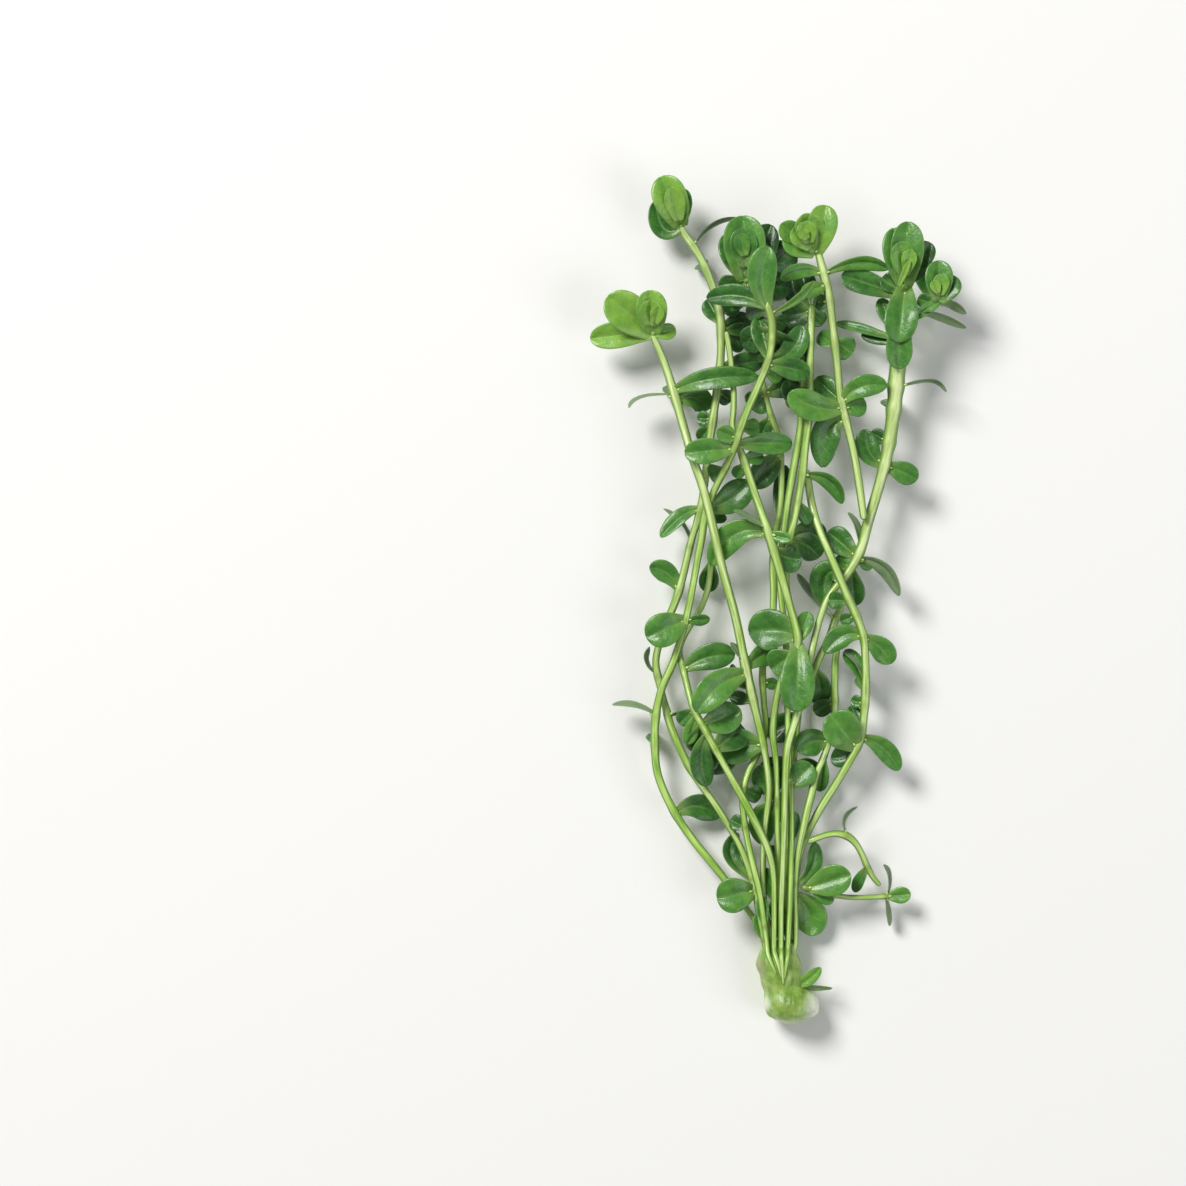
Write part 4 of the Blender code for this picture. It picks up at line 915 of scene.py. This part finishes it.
# small leaves that the CAD leaves out, close by their stems, given the same way
# a low tone is painted shade, on a leaf lying deep under the others
smallRows = {
    "stem_a": [
        ((752, 700), (730, 696), 13, -2.0),
        ((748, 690), (732, 664), 11, -1.5, dict(via=(736, 680), roll=30)),
    ],
    "stem_b": [
        ((717, 392), (731, 401), 15, -1.0), ((711, 420), (697, 418), 14, -1.0),
        ((699, 514), (727, 519), 11, -0.6), ((718, 300), (741, 306), 22, -1.2, dict(tone=0.10)),
        ((690, 768), (718, 752), 26, 0.2, dict(tone=0.18)),
        ((720, 335), (747, 338), 27, -3.0, dict(tone=0.16)),
        ((764, 941), (758, 914), 13, 0.2, dict(tone=0.58)),
    ],
    "stem_c": [
        ((724, 470), (710, 477), 19, -2.6), ((740, 428), (758, 428), 16, -3.4),
        ((764, 372), (780, 380), 14, -2.4), ((770, 334), (786, 356), 24, -6.0, dict(tone=0.08)),
        ((768, 326), (752, 330), 20, -7.0, dict(tone=0.08)),
        ((770, 345), (750, 353), 24, -8.0, dict(tone=0.14)),
        ((766, 312), (746, 314), 16, -5.0, dict(tone=0.12)),
        ((770, 320), (784, 326), 16, -4.0, dict(tone=0.12)),
    ],
    "stem_d": [
        ((695, 711), (679, 723), 16, -1.6, dict(tone=0.34)),
        ((716, 750), (743, 727), 28, -4.0, dict(tone=0.18)),
        ((700, 722), (699, 753), 25, -4.4, dict(tone=0.20)),
    ],
    "stem_e": [
        ((743, 458), (763, 456), 15, -2.0), ((745, 466), (734, 477), 12, -1.6),
        ((779, 905), (764, 868), 14, -0.8, dict(tone=0.35)),
        ((780, 935), (774, 898), 12, -0.6, dict(tone=0.50)),
    ],
    "stem_f": [
        ((744, 788), (761, 797), 16, -2.4), ((745, 828), (731, 820), 15, -2.0),
        ((763, 680), (778, 685), 11, -0.6), ((764, 926), (761, 896), 12, -0.8, dict(tone=0.52)),
    ],
    "stem_h": [
        ((790, 540), (820, 557), 24, -4.6, dict(via=(806, 545))),
        ((798, 500), (809, 524), 13, -2.0), ((790, 790), (771, 826), 17, -0.4, dict(tone=0.20)),
        ((786, 850), (796, 812), 14, -1.0, dict(tone=0.24)),
        ((786, 880), (771, 846), 13, -1.2, dict(tone=0.30)),
        ((787, 915), (794, 878), 12, -0.8, dict(tone=0.45)),
        ((789, 942), (784, 906), 11, -0.6, dict(tone=0.55)),
        ((809, 370), (789, 350), 24, -5.0, dict(tone=0.14)),
        ((809, 398), (786, 397), 22, -5.6, dict(tone=0.14)),
    ],
    "stem_i": [
        ((842, 408), (866, 405), 19, -0.8), ((829, 300), (814, 303), 15, -0.8),
    ],
    "stem_j": [
        ((857, 552), (847, 513), 10, -0.6, dict(via=(857, 530), roll=50)),
        ((894, 341), (862, 334), 13, -3.4),
        ((897, 334), (881, 298), 15, -2.4, dict(via=(888, 316))),
        ((852, 567), (835, 560), 15, -2.0), ((889, 442), (871, 432), 14, -1.2),
        ((858, 556), (872, 568), 11, -1.2),
    ],
    "stem_k": [
        ((864, 690), (843, 654), 16, -1.6, dict(via=(855, 664), roll=20)),
        ((859, 745), (831, 758), 19, -1.6, dict(via=(845, 755))),
        ((847, 600), (828, 600), 16, -2.6), ((864, 704), (851, 700), 12, -1.0),
        ((856, 618), (840, 621), 11, -1.4),
    ],
    "stem_m": [
        ((835, 704), (814, 712), 16, -0.8),
    ],
    "shoot_lower": [
        ((810, 890), (834, 902), 13, -0.4, dict(tone=0.55)),
    ],
}

stemValues = {
    "ringSpacing": 0.0012, "curveSteps": 12, "bevelSteps": 2, "nodeSwell": 0.22,
    "nodeReach": 0.0011, "markReach": 0.0005, "markOffset": 0.0006,
    "wobble": 0.06, "wobbleRun": 0.05, "phases": (0, 50), "smallShadeDarker": 0.10, "seed": 11,
    "tones": {
        "stem_a": 0.20, "stem_b": 0.35, "stem_c": 0.90, "stem_d": 0.50, "stem_e": 0.55,
        "stem_f": 0.75, "stem_g": 0.85, "stem_h": 0.85, "stem_i": 0.30, "stem_j": 0.12,
        "stem_k": 0.40, "stem_l": 0.45, "stem_m": 0.40, "shoot_upper": 0.25, "shoot_lower": 0.30,
    },
}


def smoothRoute(rows):
    # even points on a smooth curve through the rows, with the radius as a fourth number
    knots = [Vector((*place(x, y, height), width * pointSize / 2)) for x, y, height, width in rows]
    padded = [2 * knots[0] - knots[1], *knots, 2 * knots[-1] - knots[-2]]
    steps = stemValues["curveSteps"]
    fine = [
        curvePoint(*around, step / steps)
        for around in zip(padded, padded[1:], padded[2:], padded[3:]) for step in range(steps)
    ]
    fine.append(knots[-1])
    lengths = [0.0]
    for here, there in zip(fine, fine[1:]):
        lengths.append(lengths[-1] + (there - here).xyz.length)
    count = round(lengths[-1] / stemValues["ringSpacing"])
    points = []
    index = 0
    for number in range(count + 1):
        target = lengths[-1] * number / count
        while index < len(fine) - 2 and lengths[index + 1] < target:
            index += 1
        share = (target - lengths[index]) / (lengths[index + 1] - lengths[index])
        points.append(fine[index].lerp(fine[index + 1], share))
    return points


def stemBody(points, nodePoints, tone, chooser):
    # a bevelled curve that thickens at each leaf pair, closed at both ends
    curve = bpy.data.curves.new("stemRun", "CURVE")
    curve.dimensions = "3D"
    curve.bevel_depth = 1.0
    curve.bevel_resolution = stemValues["bevelSteps"]
    curve.use_fill_caps = True
    spline = curve.splines.new("POLY")
    spline.points.add(len(points) - 1)
    phase = chooser.uniform(*stemValues["phases"])
    for number, (knot, point) in enumerate(zip(spline.points, points)):
        near = min((point.xyz - node).length for node in nodePoints)
        swell = stemValues["nodeSwell"] * math.exp(-(near / stemValues["nodeReach"]) ** 2)
        wobbleAt = Vector((number * stemValues["wobbleRun"], phase, 0))
        knot.co = (*point.xyz, 1.0)
        knot.radius = point.w * (1 + swell + stemValues["wobble"] * noise.noise(wobbleAt))
    carrier = bpy.data.objects.new("stemRun", curve)
    bpy.context.scene.collection.objects.link(carrier)
    evaluated = carrier.evaluated_get(bpy.context.evaluated_depsgraph_get())
    mesh = bpy.data.meshes.new_from_object(evaluated)
    bpy.data.objects.remove(carrier)
    bm = newBody()
    bm.from_mesh(mesh)
    bpy.data.meshes.remove(mesh)
    bmesh.ops.remove_doubles(bm, verts=bm.verts, dist=weldReach)
    bmesh.ops.recalc_face_normals(bm, faces=bm.faces)
    runMap, leafMap = bm.loops.layers.uv["UVMap"], bm.loops.layers.uv["leafMap"]
    length = stemValues["ringSpacing"] * (len(points) - 1)
    for face in bm.faces:
        for loop in face.loops:
            along, around = loop[runMap].uv
            loop[leafMap].uv = (around, along * length + phase)
    bm.loops.layers.uv.remove(runMap)
    markLayer, toneLayer = bm.verts.layers.float["nodeMark"], bm.verts.layers.float["leafTone"]
    for vert in bm.verts:
        vert[toneLayer] = tone
        near = min(abs((vert.co - node).length - stemValues["markOffset"]) for node in nodePoints)
        vert[markLayer] = math.exp(-(near / stemValues["markReach"]) ** 2)
    return bm


def makeStems():
    chooser = random.Random(stemValues["seed"])
    for stemName, rows in stemRoutes.items():
        points = smoothRoute(rows)
        whole = newBody()
        nodePoints = []
        named = leafRows.get(stemName, {}).items()
        small = [(None, row) for row in smallRows.get(stemName, [])]
        for key, (footAt, tipAt, width, rise, *bends) in [*named, *small]:
            target = place(*footAt, 0)
            start = min(points, key=lambda point: (point.xy - target.xy).length)
            nodePoints.append(start.xyz)
            bend = dict(*bends)
            roll = bend.pop("roll", 0.0)
            tone = bend.pop("tone", None)
            spine = leafSpine(start.xyz, tipAt, rise, **bend)
            if tone is None:
                tone = leafTone(spine[1].z, chooser)
                # painted shade: the small leaves, lying under the others, are darker
                if not key:
                    tone -= stemValues["smallShadeDarker"]
            fullWidth = width * leafShape["fullness"] * pointSize
            seed = chooser.uniform(*leafShape["seeds"])
            body = leafBody(*spine, fullWidth, roll, seed, tone)
            leafName = f"leaf_{key}"
            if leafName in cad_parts:
                settle(body, leafName, [flesh["leafTop"], flesh["leafUnder"]])
            else:
                addBody(whole, body)
            # the bud in the angle between leaf and stem
            outward = (spine[1] - spine[0]).normalized()
            upward = Vector((0, 0, start.w * budShape["upward"]))
            at = start.xyz + outward * start.w * budShape["outward"] + upward
            size = budShape["size"] * chooser.uniform(*budShape["sizeRange"])
            addBody(whole, budBody(at, size, outward, budShape["tone"]), fleshSlot)
        stem = stemBody(points, nodePoints, stemValues["tones"][stemName], chooser)
        addBody(whole, stem, fleshSlot)
        settle(whole, stemName, [flesh["leafTop"], flesh["leafUnder"], flesh["stem"]])


makeStems()
print("stems and leaves grown")


# Crowns of young leaves at the tips, around their buds

# middle, height and bud width, then each leaf: its foot where that isn't the middle, tip, width,
# rise and what else bends or tints it
# a low tone is painted shade, on a leaf lying deep under the others
crownRows = {
    "crown_a": ((653, 334), 8.2, 12, [
        (None, (607, 297), 35, 2.5, dict(arch=0.8)),
        (None, (650, 291), 28, 3.5, dict(arch=1.0)),
        (None, (590, 339), 24, -1.0, dict(via=(620, 335))),
        (None, (676, 330), 15, -1.2),
    ]),
    "crown_b": ((681, 226), 6.8, 9, [
        (None, (661, 177), 31, 3.0, dict(arch=1.4)),
        (None, (684, 188), 17, 0.6, dict(tone=0.55)),
        (None, (655, 200), 20, -1.6, dict(via=(664, 228), tone=0.20)),
    ]),
    "crown_c": ((746, 282), 11.0, 12, [
        (None, (742, 217), 38, 1.5, dict(arch=1.0, tone=0.62)),
        (None, (771, 225), 28, -1.5, dict(tone=0.08)),
        (None, (727, 233), 28, -2.0, dict(tone=0.34)),
        (None, (720, 292), 24, -3.0, dict(tone=0.20)),
        (None, (794, 248), 34, -3.5, dict(tone=0.08)),
        (None, (790, 289), 28, -2.4, dict(tone=0.12)),
    ]),
    "crown_i": ((816, 253), 10.6, 10, [
        (None, (785, 230), 34, 1.5, dict(tone=0.72)),
        (None, (825, 207), 27, 2.0, dict(arch=1.2)),
        (None, (803, 215), 28, 2.8),
    ]),
    "crown_j": ((904, 288), 10.4, 14, [
        (None, (893, 229), 29, 1.6, dict(arch=1.2)),
        (None, (907, 223), 30, 2.4, dict(arch=1.2)),
        (None, (930, 243), 20, -0.6, dict(via=(920, 260), tone=0.36)),
        (None, (896, 344), 30, 3.4, dict(arch=1.4, tone=0.48)),
        ((904, 324, 13.4), (940, 301), 10, -1.6),
        ((937, 303, 12.0), (937, 262), 25, 0.8, dict(arch=0.6, tone=0.50)),
        ((937, 303, 12.0), (953, 277), 23, -0.6, dict(arch=0.4, tone=0.42)),
        ((938, 305, 11.7), (966, 314), 11, -2.4, dict(via=(950, 303), roll=50)),
        ((920, 313, 12.6), (966, 328), 12, -3.0, dict(via=(940, 316), roll=55)),
    ]),
}

# smaller leaves nested in each crown: foot, tip, width, rise, tone and what else bends it
# a low tone is painted shade, on a leaf lying deep under the others
nestedRows = {
    "crown_a": [
        ((650, 326, 10.0), (651, 300), 21, 2.2, 0.95),
        ((655, 324, 10.8), (659, 307), 13, 2.0, 1.0),
    ],
    "crown_b": [
        ((679, 221, 8.3), (671, 188), 19, 2.6, 1.0), ((683, 222, 7.8), (684, 196), 11, 1.6, 0.6),
    ],
    "crown_c": [
        ((745, 269, 12.1), (741, 229), 25, 1.4, 0.46),
        ((744, 258, 13.0), (739, 235), 15, 0.8, 0.56),
    ],
    "crown_i": [
        ((803, 243, 11.4), (779, 226), 20, 1.2, 0.72),
        ((811, 249, 12.0), (794, 227), 25, 1.6, 0.86),
        ((808, 245, 12.8), (803, 223), 19, 1.6, 0.94),
        ((806, 241, 13.8), (799, 232), 11, 0.8, 1.0),
    ],
    "crown_j": [
        ((903, 277, 12.2), (899, 243), 22, 2.0, 0.78),
        ((905, 274, 13.0), (909, 251), 14, 1.3, 0.9), ((897, 288, 12.8), (908, 262), 6, 1.6, 1.0),
        ((933, 300, 10.4), (923, 262), 24, -0.6, 0.25),
        ((938, 297, 13.2), (940, 275), 15, 1.0, 0.85),
        ((936, 295, 13.8), (931, 282), 10, 0.6, 1.0),
        ((897, 322, 13.0), (898, 370), 24, -1.0, 0.50, dict(arch=0.3)),
        ((934, 306, 11.4), (917, 299), 14, -0.8, 0.35),
        ((900, 292, 10.4), (883, 276), 20, -0.6, 0.30),
    ],
}

crownValues = {
    "tones": {
        "crown_a": 0.92, "crown_b": 0.92, "crown_c": 0.40, "crown_i": 0.86, "crown_j": 0.62,
    },
    "fullness": 1.14, "footWidth": 0.42, "cup": 0.30, "toneSpread": 0.08, "stagger": 0.16,
    "budShare": 0.32, "budLean": (0.1, 0.2, 1.0), "seed": 29,
}


def makeCrowns():
    chooser = random.Random(crownValues["seed"])
    for name, (middleAt, height, budWidth, tips) in crownRows.items():
        whole = newBody()
        crownTone = crownValues["tones"][name]
        grown = []
        for number, (startAt, tipAt, width, rise, *bends) in enumerate(tips):
            # each leaf starts a little above the last
            start = place(*(startAt or (*middleAt, height)))
            start.z += crownValues["stagger"] * millimetre * (number - len(tips) / 2)
            bend = dict(*bends)
            tone = bend.pop("tone", crownTone)
            tone += chooser.uniform(-1, 1) * crownValues["toneSpread"]
            grown.append((start, tipAt, width, rise, bend, tone))
        for startAt, tipAt, width, rise, tone, *bends in nestedRows[name]:
            grown.append((place(*startAt), tipAt, width, rise, dict(*bends), tone))
        for start, tipAt, width, rise, bend, tone in grown:
            roll = bend.pop("roll", 0.0)
            spine = leafSpine(start, tipAt, rise, **bend)
            fullWidth = width * crownValues["fullness"] * pointSize
            seed = chooser.uniform(*leafShape["seeds"])
            addBody(whole, leafBody(
                *spine, fullWidth, roll, seed, tone, crownValues["footWidth"], crownValues["cup"],
            ))
        budSize = budWidth * pointSize * crownValues["budShare"]
        lean = Vector(crownValues["budLean"])
        addBody(whole, budBody(place(*middleAt, height), budSize, lean, crownTone))
        settle(whole, name, [flesh["leafTop"], flesh["leafUnder"]])


makeCrowns()
print("crowns opened")


# The foot, flat underneath, with a twig of two leaves on its right

# y, left, right, underside and top of each section, from the neck to the cut end
footSections = [
    (943, 765, 797, 3.8, 7.2), (950, 761, 798, 2.4, 8.3), (958, 758, 800, 1.0, 9.3),
    (967, 757, 802, 0.2, 9.8), (979, 760, 804, -0.6, 9.6), (987, 763, 804, -0.8, 9.4),
    (992, 765, 812, -0.8, 9.5), (998, 765, 818, -0.8, 9.8), (1005, 765, 820, -0.8, 10.1),
    (1012, 766, 820, -0.8, 10.0), (1018, 770, 815, -0.4, 9.2), (1023, 780, 800, 1.8, 7.0),
]

footValues = {
    "sides": 48, "rows": 34, "lumps": 0.00045, "lumpSize": 0.0024,
    "grooves": 0.00022, "grooveCount": 7, "grooveTwist": 3,
    "endInset": 0.0006, "endSteps": 2, "endDepth": 0.4,
    "twigStart": (796, 986, 6.0), "twigFullness": 1.12, "twigTone": 0.84, "twigSeed": 2.0,
    "twigLeaves": [  # tip, width, rise, roll and what else bends the leaf
        ((821, 967), 12, 2.0, 0, dict(via=(808, 980))), ((833, 988), 9, 0.5, 50, {}),
    ],
}


def footSection(share):
    # the sections run on smoothly between the table's rows
    rows = footSections
    at = share * (len(rows) - 1)
    index = min(int(at), len(rows) - 2)
    before, after = rows[max(index - 1, 0)], rows[min(index + 2, len(rows) - 1)]
    around = (before, rows[index], rows[index + 1], after)
    return [curvePoint(*numbers, at - index) for numbers in zip(*around)]


def makeFoot():
    # a grid rolled round the sections, then lumps, grooves and a rounded cut end
    bm = newBody()
    values = footValues
    bmesh.ops.create_grid(bm, x_segments=values["sides"], y_segments=values["rows"], size=1.0)
    for vert in bm.verts:
        angle = math.pi * vert.co.x
        share = (vert.co.y + 1) / 2
        y, left, right, underside, top = footSection(share)
        point = place(
            (left + right) / 2 + (right - left) / 2 * math.cos(angle), y,
            (top + underside) / 2 + (top - underside) / 2 * math.sin(angle),
        )
        outward = Vector((math.cos(angle), 0, math.sin(angle)))
        groove = math.sin(angle * values["grooveCount"] + values["grooveTwist"] * share)
        swell = values["lumps"] * noise.noise(point / values["lumpSize"])
        point += outward * (swell - values["grooves"] * max(0.0, groove) ** 2)
        point.z = max(point.z, floorGap)
        vert.co = point
    bmesh.ops.remove_doubles(bm, verts=bm.verts, dist=weldReach)
    ends = bmesh.ops.holes_fill(bm, edges=[edge for edge in bm.edges if edge.is_boundary])
    inset = values["endInset"]
    for step in range(values["endSteps"]):
        bmesh.ops.inset_region(
            bm, faces=ends["faces"], thickness=inset, depth=inset * values["endDepth"],
        )
    bmesh.ops.recalc_face_normals(bm, faces=bm.faces)
    whole = newBody()
    addBody(whole, bm, fleshSlot)
    for tipAt, width, rise, roll, bend in values["twigLeaves"]:
        spine = leafSpine(place(*values["twigStart"]), tipAt, rise, **bend)
        fullWidth = width * values["twigFullness"] * pointSize
        addBody(whole, leafBody(*spine, fullWidth, roll, values["twigSeed"], values["twigTone"]))
    settle(whole, "foot", [flesh["leafTop"], flesh["leafUnder"], flesh["foot"]])


makeFoot()
print("foot made")
